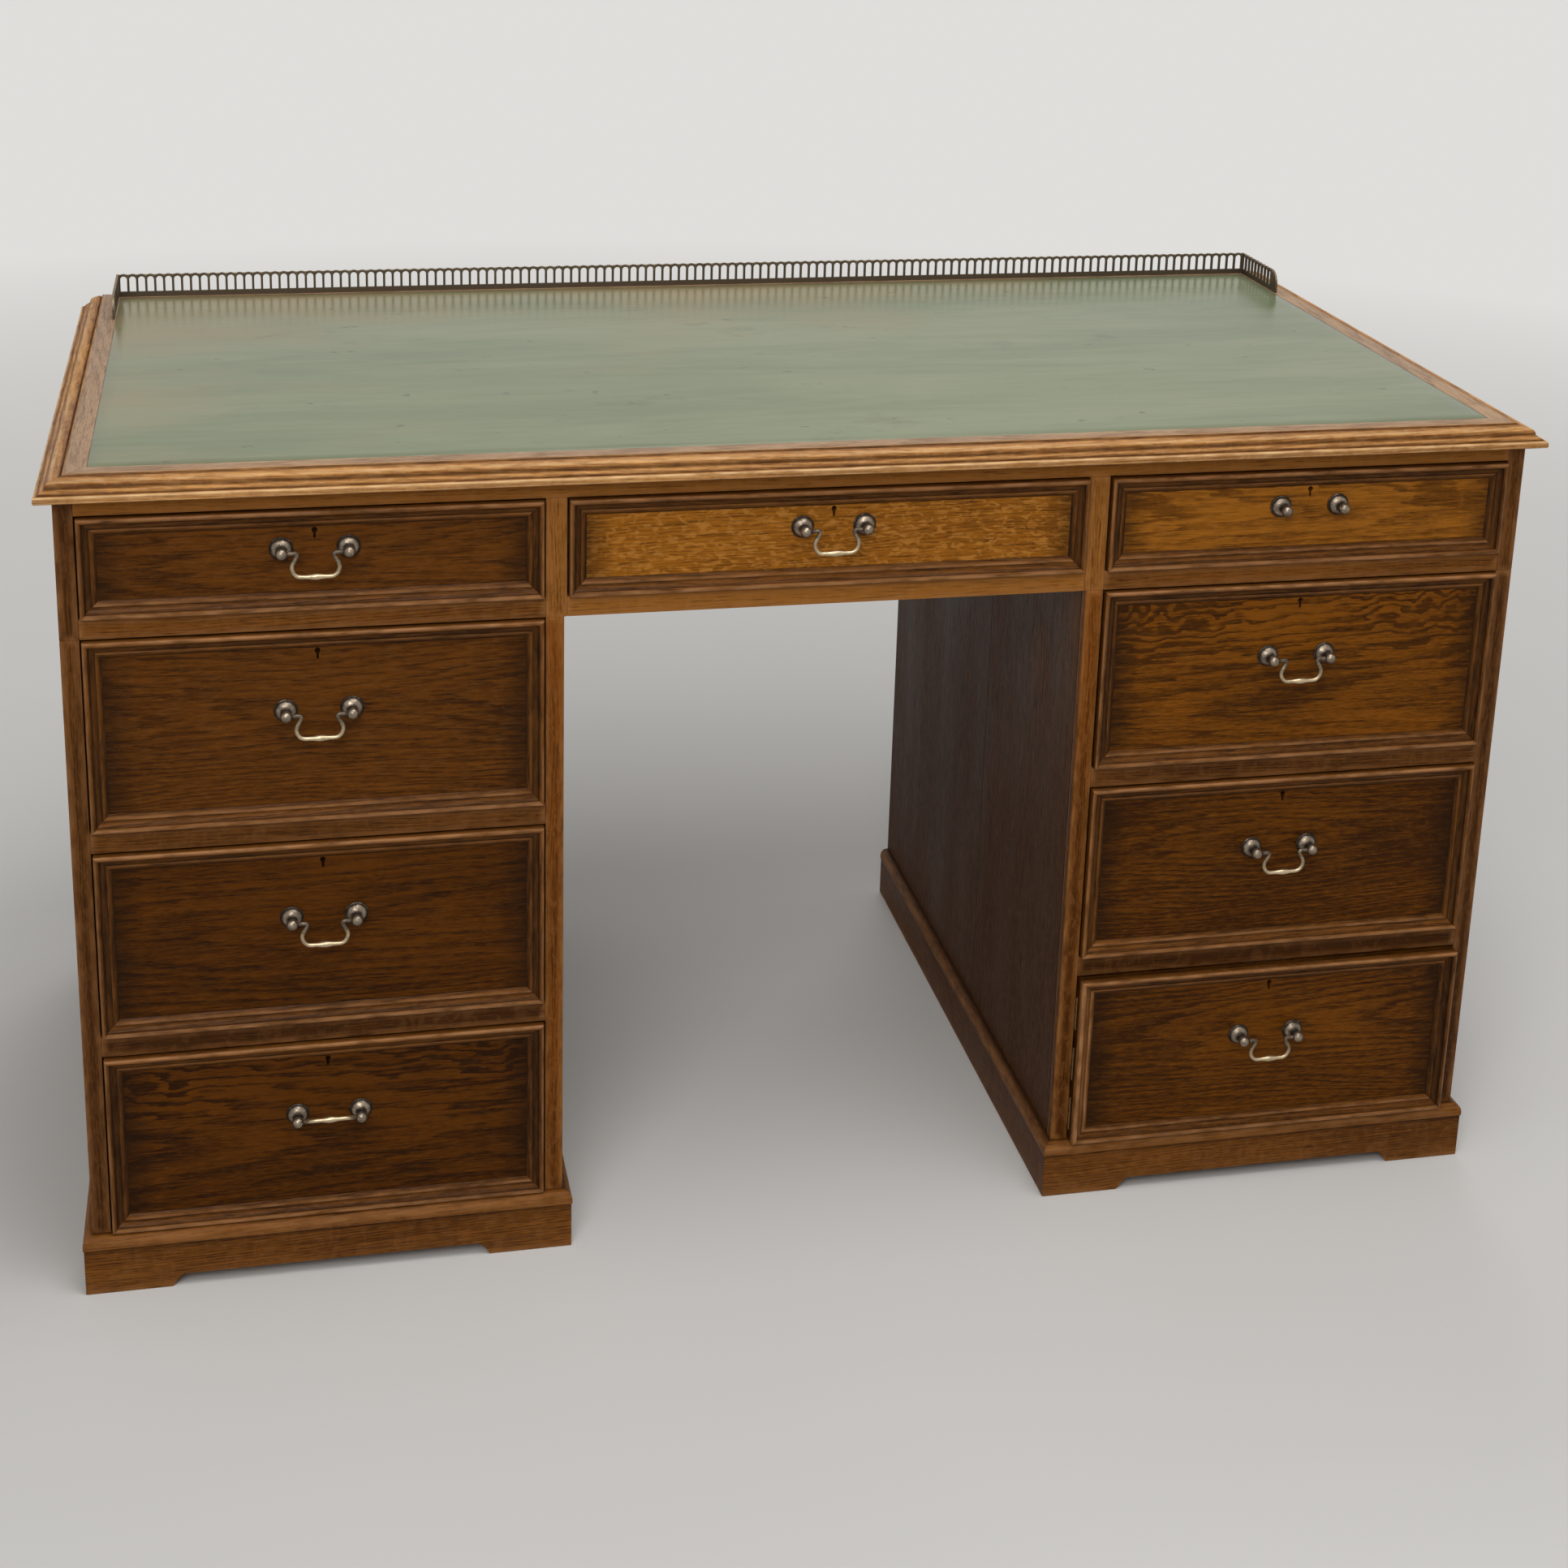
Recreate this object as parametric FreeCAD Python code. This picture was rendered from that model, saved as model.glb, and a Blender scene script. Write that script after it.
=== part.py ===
import FreeCAD
import Part
import math
import os

# Oak twin-pedestal library desk. The top section, with three frieze drawers, stands on two
# pedestals of three drawers each. X runs to the right, Y to the back and Z up. The origin is the
# centre of the desk's footprint on the floor. Lengths are millimetres, angles degrees.
# Every solid is first placed with the front edges of the carcase at y = 0, and then moved back to
# the origin as a whole.

V = FreeCAD.Vector

# Top
top_width = 1370.0
top_depth = 670.0
top_thickness = 19.0
side_overhang = 14.0
front_overhang = 16.0
back_overhang = 6.0
edge_width = 24.0
leather_thickness = 1.2
leather_margin = 42.0
leather_back_margin = 16.0

# Gallery on the back of the top
gallery_height = 25.0
gallery_thickness = 2.2
gallery_side_inset = 38.5
gallery_back_inset = 11.0
gallery_return = 101.0
gallery_pitch = 9.4
gallery_upright = 3.0
gallery_base = 6.5
gallery_rim = 2.6
gallery_end_radius = 9.0

# Carcase
board = 16.5
divider = 19.0
back_board = 10.0
kneehole_width = 484.0
frieze_top_rail = 16.0
frieze_opening = 92.0
frieze_bottom_rail = 18.5
pedestal_opening = 179.0
pedestal_drawers = 3
frieze_tails = 2
pedestal_tails = 3
drawer_rail = 20.0
rail_depth = 45.0
runner_width = 20.0
pedestal_lid = 12.0
lid_setback = 10.0

# Plinths
plinth_height = 57.5
plinth_thickness = 20.0
plinth_projection = 8.7
foot_length = 78.0
foot_relief = 12.0
bottom_board = 12.0
glue_block = 38.0

# Loose tenons between the top section and the pedestals
tenon_width = 8.0
tenon_length = 28.0
tenon_run = 30.0
tenon_setback = 80.0

# Drawer fronts
front_board = 16.0
panel_recess = 2.0
side_gap = 1.5
top_gap = 1.4
bottom_gap = 0.6
moulding_width = 15.5
moulding_height = 8.0
keyhole_gap = 0.8
keyhole_width = 3.4
keyhole_height = 8.4
lock_width = 50.0
lock_height = 34.0
lock_thickness = 8.0

# Drawer boxes
box_board = 10.0
box_back_gap = 20.0
box_head_room = 14.0
box_seat_gap = 0.3
box_bottom = 6.0
box_bottom_lift = 7.0
box_groove = 4.0
box_back_drop = 5.0
tail_length = 10.0
stop_width = 30.0
stop_depth = 18.0
stop_height = 5.0
stop_inset = 60.0
ajar = 8.0

# Handles
handle_centres = 57.0
frieze_handle_rise = 10.0
pedestal_handle_rise = 15.0
rose_radius = 10.5
post_length = 20.3
pin_reach = 15.0
pin_radius = 1.6
pin_clearance = 0.05
pin_depth = 4.0
rod_radius = 2.1
rod_post_gap = 0.5
neck_inset = 15.0
neck_bend = 3.4
shoulder_inset = 7.5
shoulder_drop = 13.5
shoulder_bend = 3.6
bar_inset = 13.0
bar_bend = 3.6
bail_drop = 21.5
swell_radius = 3.1
swell_length = 17.0
raised_bail_angle = 122.0

# One overrun serves every cut
overrun = 1.0

# Outlines as shares of a width and a height. Two numbers end a straight line, four numbers end an
# arc that passes through the first pair.
edge_profile_shares = (
    (0.05, 0.0), (0.0, 0.05), (0.0, 0.24), (0.03, 0.32, 0.11, 0.35), (0.15, 0.35), (0.16, 0.4),
    (0.24, 0.47, 0.38, 0.56), (0.4, 0.7), (0.55, 0.86, 0.86, 0.94), (0.89, 0.87), (0.95, 1.0),
    (1.0, 1.0), (1.0, 0.0),
)
moulding_profile_shares = (
    (0.0, 0.0), (0.0, 0.8), (0.08, 1.0), (0.22, 1.0), (0.3, 0.8), (0.3, 0.62), (0.45, 0.4), (0.66, 0.3),
    (0.7, 0.36), (0.86, 0.26), (1.0, 0.0),
)
plinth_profile_shares = (
    (0.045, 0.0), (0.045, 0.785), (0.0, 0.79), (0.0, 0.87), (0.115, 0.965, 0.4, 1.0), (1.0, 1.0),
    (1.0, 0.0),
)
post_profile_shares = (
    (1.0, 0.0), (0.8, 0.23), (0.31, 0.38), (0.5, 0.65), (0.48, 0.83), (0.2, 1.0),
)
gallery_arch_shares = ((0.0, 0.0), (1.0, 0.0), (1.0, 0.75), (0.5, 1.0), (0.0, 0.75))
tail_tip_share = 0.66
tail_root_share = 0.46
keyhole_head_share = 0.4

# The small turned and bent pieces have this many flats round them
post_sides = 8
rod_sides = 6

# Sizes that follow from those above
carcase_width = top_width - 2 * side_overhang
carcase_depth = top_depth - front_overhang - back_overhang
outer_face = carcase_width / 2
inner_face = kneehole_width / 2
bay_outer = outer_face - board
bay_inner = inner_face + board
bay_width = bay_outer - bay_inner
bay_centre = (bay_outer + bay_inner) / 2
divider_inner = bay_inner - divider
pedestal_pitch = pedestal_opening + drawer_rail
pedestal_top = plinth_height + pedestal_drawers * pedestal_pitch - drawer_rail
frieze_floor = pedestal_top + frieze_bottom_rail
frieze_head = frieze_floor + frieze_opening
frieze_top = frieze_head + frieze_top_rail
desk_height = frieze_top + top_thickness
back_face = carcase_depth - back_board
front_back = panel_recess + front_board
box_depth = back_face - front_back - box_back_gap
pin_y = panel_recess - pin_reach
front_reach = bail_drop * math.sin(math.radians(raised_bail_angle)) + swell_radius - pin_y
origin_shift = (front_reach - carcase_depth - back_overhang) / 2


def block(x0, x1, y0, y1, z0, z1):
    """A rectangular board between two corners, given in any order along X."""
    return Part.makeBox(abs(x1 - x0), y1 - y0, z1 - z0, V(min(x0, x1), y0, z0))


def outline(shares, width, height):
    """A face in the YZ plane from a table of shares of its width (Y) and height (Z)."""
    points = [
        [V(0, share[i] * width, share[i + 1] * height) for i in range(0, len(share), 2)]
        for share in shares
    ]
    edges = []
    here = points[0][0]
    for step in points[1:] + points[:1]:
        if len(step) == 2:
            edges.append(Part.Arc(here, step[0], step[1]).toShape())
        elif here.distanceToPoint(step[0]) > 0:
            edges.append(Part.LineSegment(here, step[0]).toShape())
        here = step[-1]
    return Part.Face(Part.Wire(edges))


def plate(points, thickness):
    """A flat piece from corner points, thickened along the vector."""
    return polygon_face(points).extrude(thickness)


def mitred_length(shares, length, width, height, mitres=(1, 1)):
    """A moulding along X, centred, with its outer edge at y = 0 and its foot at z = 0.

    An end is cut at 45 degrees where its entry in mitres is 1, and square where it is 0.
    """
    half = length / 2
    moulding = outline(shares, width, height).extrude(V(length, 0, 0))
    moulding.translate(V(-half, 0, 0))
    plan = [
        V(-half, 0, 0), V(half, 0, 0),
        V(half - width * mitres[1], width, 0), V(-half + width * mitres[0], width, 0),
    ]
    return moulding.common(plate(plan, V(0, 0, height)))


def placed(shape, position, turns):
    """A copy of a shape turned about axes through the origin, in order, and then moved."""
    result = shape.copy()
    for axis, angle in turns:
        result.rotate(V(0, 0, 0), axis, angle)
    result.translate(position)
    return result


def top_panel():
    """The ground of the top, with the shallow bed of the leather."""
    half = top_width / 2 - edge_width
    front, back = edge_width - front_overhang, carcase_depth + back_overhang
    ground = block(-half, half, front, back, frieze_top, desk_height)
    return [ground.cut(leather_bed(leather_thickness + overrun))]


def leather_bed(depth):
    """The rectangle that the leather fills, sunk in the top."""
    half = top_width / 2 - leather_margin
    bottom = desk_height - leather_thickness
    back = carcase_depth + back_overhang - leather_back_margin
    return block(-half, half, leather_margin - front_overhang, back, bottom, bottom + depth)


def top_edge():
    """Three lengths of moulded edge, mitred at the front corners and square at the back."""
    front = mitred_length(edge_profile_shares, top_width, edge_width, top_thickness)
    right = mitred_length(edge_profile_shares, top_depth, edge_width, top_thickness, (1, 0))
    left = mitred_length(edge_profile_shares, top_depth, edge_width, top_thickness, (0, 1))
    side_y = top_depth / 2 - front_overhang
    upright = V(0, 0, 1)
    return [
        placed(front, V(0, -front_overhang, frieze_top), []),
        placed(right, V(top_width / 2, side_y, frieze_top), [(upright, 90)]),
        placed(left, V(-top_width / 2, side_y, frieze_top), [(upright, -90)]),
    ]


def gallery_run(length, dropped_end):
    """A pierced strip along X from 0, with a row of arched openings.

    The far top corner is rounded off where dropped_end is true.
    """
    crown = gallery_height - gallery_rim
    slot = gallery_pitch - gallery_upright
    count = int((length - gallery_upright) / gallery_pitch)
    first = (length - count * gallery_pitch + gallery_upright) / 2
    drop = gallery_end_radius if dropped_end else 0
    rim = [V(0, 0, gallery_height), V(0, 0, 0), V(length, 0, 0), V(length, 0, gallery_height - drop)]
    edges = [Part.LineSegment(a, b).toShape() for a, b in zip(rim, rim[1:])]
    if dropped_end:
        reach = drop * math.sqrt(2) / 2
        middle = V(length - drop + reach, 0, gallery_height - drop + reach)
        shoulder = V(length - drop, 0, gallery_height)
        edges.append(Part.Arc(rim[-1], middle, shoulder).toShape())
        edges.append(Part.LineSegment(shoulder, rim[0]).toShape())
    else:
        edges.append(Part.LineSegment(rim[-1], rim[0]).toShape())
    wires = [Part.Wire(edges)]
    for index in range(count):
        left = first + index * gallery_pitch
        points = [
            V(left + x * slot, 0, gallery_base + z * (crown - gallery_base)) for x, z in gallery_arch_shares
        ]
        wires.append(Part.makePolygon(points + points[:1]))
    face = Part.Face(wires, "Part::FaceMakerBullseye")
    return face.extrude(V(0, gallery_thickness, 0))


def gallery():
    """The back run between the ends and a return at each end, standing on the border."""
    half = top_width / 2 - gallery_side_inset
    back = carcase_depth + back_overhang - gallery_back_inset
    front = back - gallery_thickness
    upright = V(0, 0, 1)
    run = gallery_run(2 * half, False)
    end = gallery_run(gallery_return, True)
    return [
        placed(run, V(-half, front, desk_height), []),
        placed(end, V(half - gallery_thickness, front, desk_height), [(upright, -90)]),
        placed(end, V(-half, front, desk_height), [(upright, -90)]),
    ]


def tenons():
    """Loose tenons that stand in the pedestals' sides and locate the top section."""
    pegs = []
    for x in (outer_face - board / 2, inner_face + board / 2):
        for side in (-1, 1):
            for y in (tenon_setback, carcase_depth - tenon_setback - tenon_run):
                x0, z0 = side * x - tenon_width / 2, pedestal_top - tenon_length / 2
                pegs.append(block(x0, x0 + tenon_width, y, y + tenon_run, z0, z0 + tenon_length))
    return pegs


def mortised(solids):
    """Boards with the mortises of the tenons that reach them."""
    return [solid.cut(tenons()) for solid in solids]


def frieze_ends():
    """The two outer boards of the top section."""
    return mortised([
        block(side * bay_outer, side * outer_face, 0, carcase_depth, pedestal_top, frieze_top)
        for side in (-1, 1)
    ])


def frieze_dividers():
    """The two boards between the frieze drawers, under the top rails."""
    return mortised([
        block(side * divider_inner, side * bay_inner, 0, back_face, pedestal_top, frieze_head)
        for side in (-1, 1)
    ])


def frieze_rails():
    """Top rails at the front and the back, and a bottom rail under each drawer."""
    rails = [
        block(-bay_outer, bay_outer, 0, rail_depth, frieze_head, frieze_top),
        block(-bay_outer, bay_outer, back_face - rail_depth, back_face, frieze_head, frieze_top),
    ]
    for x0, x1 in ((-bay_outer, -bay_inner), (-divider_inner, divider_inner), (bay_inner, bay_outer)):
        rails.append(block(x0, x1, 0, rail_depth, pedestal_top, frieze_floor))
    return rails


def runners(walls, bottom, top):
    """A runner against each wall, from the front rail to the back. A wall is a place and a side."""
    return [block(x, x + side * runner_width, rail_depth, back_face, bottom, top) for x, side in walls]


def frieze_runners():
    """Runners on the ends and on both faces of the dividers."""
    left = [(-bay_outer, 1), (-bay_inner, -1), (-divider_inner, 1)]
    right = [(-x, -side) for x, side in left]
    return runners(left + right, pedestal_top, frieze_floor)


def frieze_back():
    """The board that closes the back of the top section."""
    return [block(-bay_outer, bay_outer, back_face, carcase_depth, pedestal_top, frieze_top)]


def pedestal_openings():
    """The height of the floor of each drawer opening, from the top drawer down."""
    return [pedestal_top - pedestal_opening - row * pedestal_pitch for row in range(pedestal_drawers)]


def pedestal_rails(side):
    """Front rails between the drawers."""
    floors = pedestal_openings()[:-1]
    return [block(side * bay_inner, side * bay_outer, 0, rail_depth, z - drawer_rail, z) for z in floors]


def pedestal_runners(side):
    """Runners behind the rails, on both side boards."""
    walls = [(side * bay_inner, side), (side * bay_outer, -side)]
    return [bar for z in pedestal_openings()[:-1] for bar in runners(walls, z - drawer_rail, z)]


def pedestal_boards(side):
    """The top board, set behind the drawer front, and the bottom board inside the plinth."""
    inset = plinth_thickness - plinth_projection
    low = plinth_height - bottom_board
    lid_front = front_back + lid_setback
    x0, x1 = side * (inner_face + inset), side * (outer_face - inset)
    boards = [
        block(side * bay_inner, side * bay_outer, lid_front, back_face, pedestal_top - pedestal_lid,
              pedestal_top),
        block(x0, x1, inset, carcase_depth - plinth_thickness, low, plinth_height),
    ]
    for x, way in ((x0, side), (x1, -side)):
        for y in (inset, carcase_depth - plinth_thickness - glue_block):
            boards.append(block(x, x + way * glue_block, y, y + glue_block, foot_relief, low))
    return boards


def plinth(side):
    """A moulded front with bracket feet, two moulded sides and a plain back between them."""
    width = outer_face - inner_face + 2 * plinth_projection
    depth = carcase_depth + plinth_projection
    centre = side * (outer_face + inner_face) / 2
    upright = V(0, 0, 1)
    shares = plinth_profile_shares
    front = mitred_length(shares, width, plinth_thickness, plinth_height)
    half = width / 2 - foot_length
    relief = [
        V(-half, 0, 0), V(half, 0, 0),
        V(half - foot_relief, 0, foot_relief), V(foot_relief - half, 0, foot_relief),
    ]
    front = front.cut(plate(relief, V(0, plinth_thickness, 0)))
    right = mitred_length(shares, depth, plinth_thickness, plinth_height, (1, 0))
    left = mitred_length(shares, depth, plinth_thickness, plinth_height, (0, 1))
    middle = depth / 2 - plinth_projection
    inside = width / 2 - plinth_thickness
    return [
        placed(front, V(centre, -plinth_projection, 0), []),
        placed(right, V(centre + width / 2, middle, 0), [(upright, 90)]),
        placed(left, V(centre - width / 2, middle, 0), [(upright, -90)]),
        block(centre - inside, centre + inside, carcase_depth - plinth_thickness, carcase_depth, 0,
              plinth_height),
    ]


def pedestal(side, name):
    """The nodes of one pedestal."""
    sides = {"outer_side": (bay_outer, outer_face), "inner_side": (inner_face, bay_inner)}
    nodes = {}
    for word, (x0, x1) in sides.items():
        upright = block(side * x0, side * x1, 0, carcase_depth, plinth_height, pedestal_top)
        nodes[f"{name}_{word}"] = mortised([upright])
    nodes[f"{name}_back"] = [
        block(side * bay_inner, side * bay_outer, back_face, carcase_depth, plinth_height, pedestal_top),
    ]
    nodes[f"{name}_rails"] = pedestal_rails(side)
    nodes[f"{name}_runners"] = pedestal_runners(side)
    nodes[f"{name}_boards"] = pedestal_boards(side)
    nodes[f"{name}_plinth"] = plinth(side)
    return nodes


class Drawer:
    """One drawer: its opening, its handle and how far it stands open at rest.

    A storey is the floor and the height of its opening, the rise of its handle and its tails on each side.
    """

    def __init__(self, name, centre, width, storey, pulled=0, bail_angle=0, has_bail=True):
        floor, height, rise, tail_count = storey
        self.name = name
        self.centre = centre
        self.floor = floor
        self.width = width
        self.tail_count = tail_count
        self.pulled = pulled
        self.bail_angle = bail_angle
        self.has_bail = has_bail
        self.half = width / 2 - side_gap
        self.low = floor + bottom_gap
        self.high = floor + height - top_gap
        self.box_low = floor + box_seat_gap
        self.box_high = floor + height - box_head_room
        self.pin_z = (self.low + self.high) / 2 + rise
        self.posts = [centre - handle_centres / 2, centre + handle_centres / 2]

    def tails(self, way):
        """Dovetails at the front end of a side, wider at their tips, inside the front."""
        height = self.box_high - self.box_low
        pitch = height / self.tail_count
        x = self.centre + way * self.half
        tips = front_back - tail_length
        solids = []
        for index in range(self.tail_count):
            middle = self.box_low + (index + 1 / 2) * pitch
            root, tip = pitch * tail_root_share / 2, pitch * tail_tip_share / 2
            corners = [
                V(x, front_back, middle - root), V(x, tips, middle - tip),
                V(x, tips, middle + tip), V(x, front_back, middle + root),
            ]
            solids.append(plate(corners, V(-way * box_board, 0, 0)))
        return solids

    def bottom(self):
        """The bottom panel, with its edges in the grooves of the front and the sides."""
        half = self.half - box_board + box_groove
        z = self.box_low + box_bottom_lift
        return block(self.centre - half, self.centre + half, front_back - box_groove, front_back + box_depth,
                     z, z + box_bottom)

    def keyhole(self):
        """A narrow slot with a chamfered head, just under the moulding, through to the lock."""
        top = self.high - moulding_width - keyhole_gap
        low, shoulder = top - keyhole_height, top - keyhole_height * keyhole_head_share
        half, slim = keyhole_width / 2, keyhole_width * keyhole_head_share / 2
        corners = [
            (-slim, low), (slim, low), (slim, shoulder), (half, shoulder), (half, top), (-half, top),
            (-half, shoulder), (-slim, shoulder),
        ]
        points = [V(self.centre + x, panel_recess - overrun, z) for x, z in corners]
        return plate(points, V(0, front_board - lock_thickness + overrun, 0))

    def lock_case(self, extra=0):
        """The case of the lock, let into the back of the front and level with its top edge."""
        half = lock_width / 2
        return block(self.centre - half, self.centre + half, front_back - lock_thickness, front_back + extra,
                     self.high - lock_height, self.high + extra)

    def mouldings(self):
        """Four mitred lengths round the edge of the front."""
        tall = self.high - self.low
        middle = (self.low + self.high) / 2
        across = mitred_length(moulding_profile_shares, 2 * self.half, moulding_width, moulding_height)
        along = mitred_length(moulding_profile_shares, tall, moulding_width, moulding_height)
        face_out = (V(1, 0, 0), 90)
        facing = V(0, 1, 0)
        return [
            placed(across, V(self.centre, panel_recess, self.low), [face_out]),
            placed(across, V(self.centre, panel_recess, self.high), [face_out, (facing, 180)]),
            placed(along, V(self.centre - self.half, panel_recess, middle), [face_out, (facing, 90)]),
            placed(along, V(self.centre + self.half, panel_recess, middle), [face_out, (facing, -90)]),
        ]

    def front(self):
        """The front board with its joints, keyhole and holes, and the mouldings on it."""
        panel = block(self.centre - self.half, self.centre + self.half, panel_recess, front_back, self.low,
                      self.high)
        cuts = self.tails(-1) + self.tails(1) + [self.bottom(), self.keyhole(), self.lock_case(overrun)]
        return [panel.cut(cuts)] + self.mouldings()

    def box(self):
        """Two dovetailed sides, a back between them and the bottom."""
        back_end = front_back + box_depth
        bottom = self.bottom()
        solids = [bottom]
        for way in (-1, 1):
            outer = self.centre + way * self.half
            side = block(outer, outer - way * box_board, front_back, back_end, self.box_low, self.box_high)
            solids.append(side.fuse(self.tails(way)).removeSplitter().cut(bottom))
        inside = self.half - box_board
        base = self.box_low + box_bottom_lift + box_bottom
        crest = self.box_high - box_back_drop
        solids.append(block(self.centre - inside, self.centre + inside, back_end - box_board, back_end, base,
                            crest))
        return solids

    def post(self, x, way):
        """A turned post: domed rose, neck and ball, with the hole of the pin on the side given by way."""
        turned = flats([
            ring(radius * rose_radius, V(0, -reach * post_length, 0), V(1, 0, 0), V(0, 0, 1), post_sides)
            for radius, reach in post_profile_shares
        ])
        turned.translate(V(x, panel_recess, self.pin_z))
        hole = (pin_radius + pin_clearance) / math.cos(math.pi / rod_sides)
        middle = V(x, pin_y, self.pin_z)
        return turned.cut(flat_bar(hole, middle, middle + V(way * rose_radius, 0, 0)))

    def fittings(self):
        """Both posts and the lock."""
        return [self.post(self.posts[0], 1), self.post(self.posts[1], -1), self.lock_case()]

    def bail(self):
        """The swan-neck bail on its pins, hanging, or raised by the drawer's bail angle."""
        shape = bail_shape()
        if self.bail_angle:
            shape.rotate(V(0, 0, 0), V(-1, 0, 0), self.bail_angle)
        shape.translate(V(self.centre, pin_y, self.pin_z))
        return [shape]

    def nodes(self):
        """The drawer's nodes, moved forward by as much as it stands open."""
        parts = {"front": self.front(), "box": self.box(), "fittings": self.fittings()}
        if self.has_bail:
            parts["bail"] = self.bail()
        for solids in parts.values():
            for solid in solids:
                solid.translate(V(0, -self.pulled, 0))
        return {f"{self.name}_{word}": solids for word, solids in parts.items()}


def ring(radius, middle, across, up, sides):
    """The corners of a polygon round a point, in the plane of two directions."""
    turns = [2 * math.pi * (i + 1 / 2) / sides for i in range(sides)]
    return [middle + across * (radius * math.cos(turn)) + up * (radius * math.sin(turn)) for turn in turns]


def polygon_face(points):
    """A flat face from its corners."""
    return Part.Face(Part.makePolygon(points + points[:1]))


def flats(rings):
    """A solid with flat faces between the polygons of a row, closed by the first and the last."""
    faces = [polygon_face(rings[0]), polygon_face(rings[-1])]
    for low, high in zip(rings, rings[1:]):
        for i in range(len(low)):
            faces.append(polygon_face([low[i - 1], low[i], high[i], high[i - 1]]))
    solid = Part.Solid(Part.Shell(faces))
    return solid if solid.Volume > 0 else solid.reversed()


def flat_bar(radius, start, end):
    """A bar with flats between two points on a line along X."""
    return flats([ring(radius, point, V(0, 0, 1), V(0, 1, 0), rod_sides) for point in (start, end)])


def eased_corners(corners, cuts):
    """A path whose inner corners are each cut off by the given length along both runs."""
    path = [corners[0]]
    for before, corner, after, cut in zip(corners, corners[1:], corners[2:], cuts):
        path.append(corner + (before - corner).normalize() * cut)
        path.append(corner + (after - corner).normalize() * cut)
    return path + [corners[-1]]


def bail_shape():
    """A bail hanging from the origin: a rod in swan-neck bends with a swelling on the bar, and two pins."""
    post_x = handle_centres / 2
    start_x = post_x - (post_length - pin_reach) - rod_post_gap
    left = [
        V(-start_x, 0, 0), V(neck_inset - post_x, 0, 0), V(shoulder_inset - post_x, 0, -shoulder_drop),
        V(bar_inset - post_x, 0, -bail_drop), V(0, 0, -bail_drop),
    ]
    half = eased_corners(left, (neck_bend, shoulder_bend, bar_bend))
    half.insert(-1, V(-swell_length / 2, 0, -bail_drop))
    path = half + [V(-point.x, 0, point.z) for point in reversed(half[:-1])]
    rings = []
    for index, point in enumerate(path):
        before = (point - path[max(index - 1, 0)]) if index else path[1] - point
        after = (path[index + 1] - point) if index + 1 < len(path) else before
        along = (before.normalize() + after.normalize()).normalize()
        stretch = 1 / along.dot(after)
        radius = swell_radius if index == len(half) - 1 else rod_radius
        outward = V(-along.z, 0, along.x) * stretch
        rings.append(ring(radius, point, outward, V(0, 1, 0), rod_sides))
    pin_end = start_x + rod_post_gap + pin_depth
    pins = [flat_bar(pin_radius, V(way * start_x, 0, 0), V(way * pin_end, 0, 0)) for way in (-1, 1)]
    return flats(rings).fuse(pins)


def drawers():
    """The nine drawers, the frieze first and then each pedestal from the top down."""
    centre_width = 2 * divider_inner
    frieze = (frieze_floor, frieze_opening, frieze_handle_rise, frieze_tails)
    rows = [
        Drawer("frieze_left", -bay_centre, bay_width, frieze),
        Drawer("frieze_centre", 0, centre_width, frieze),
        Drawer("frieze_right", bay_centre, bay_width, frieze, has_bail=False),
    ]
    lowest = {"left": {"bail_angle": raised_bail_angle}, "right": {"pulled": ajar}}
    for side, word in ((-1, "left"), (1, "right")):
        for row, floor in enumerate(pedestal_openings()):
            extra = lowest[word] if row == pedestal_drawers - 1 else {}
            name = f"{word}_drawer_{row + 1}"
            storey = (floor, pedestal_opening, pedestal_handle_rise, pedestal_tails)
            rows.append(Drawer(name, side * bay_centre, bay_width, storey, **extra))
    return rows


def drawer_stops(drawer):
    """Two blocks that the front of a drawer meets when it is shut."""
    stops = []
    for way in (-1, 1):
        x = drawer.centre + way * (drawer.width / 2 - stop_inset)
        y1, z1 = front_back + stop_depth, drawer.floor + stop_height
        stops.append(block(x, x - way * stop_width, front_back, y1, drawer.floor, z1))
    return stops


def desk_nodes():
    """All nodes of the desk by name, each a list of solids."""
    rows = drawers()
    nodes = {
        "top_panel": top_panel(),
        "top_edge_moulding": top_edge(),
        "leather_inset": [leather_bed(leather_thickness)],
        "gallery": gallery(),
        "frieze_ends": frieze_ends(),
        "frieze_dividers": frieze_dividers(),
        "frieze_rails": frieze_rails(),
        "frieze_runners": frieze_runners(),
        "frieze_back": frieze_back(),
        "locating_tenons": tenons(),
        "drawer_stops": [stop for drawer in rows for stop in drawer_stops(drawer)],
    }
    nodes.update(pedestal(-1, "left_pedestal"))
    nodes.update(pedestal(1, "right_pedestal"))
    for drawer in rows:
        nodes.update(drawer.nodes())
    return nodes


def main():
    os.makedirs("parts", exist_ok=True)
    for name, solids in desk_nodes().items():
        whole = Part.makeCompound(solids)
        whole.translate(V(0, origin_shift, 0))
        whole.exportStep(f"parts/{name}.step")


if __name__ == "__main__":
    main()
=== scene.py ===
"""Looks of an oak twin-pedestal desk: boards, mouldings, leather, gallery and handles over its frame."""
import math

import bpy
import numpy as np
from mathutils import Matrix, Vector


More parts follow.
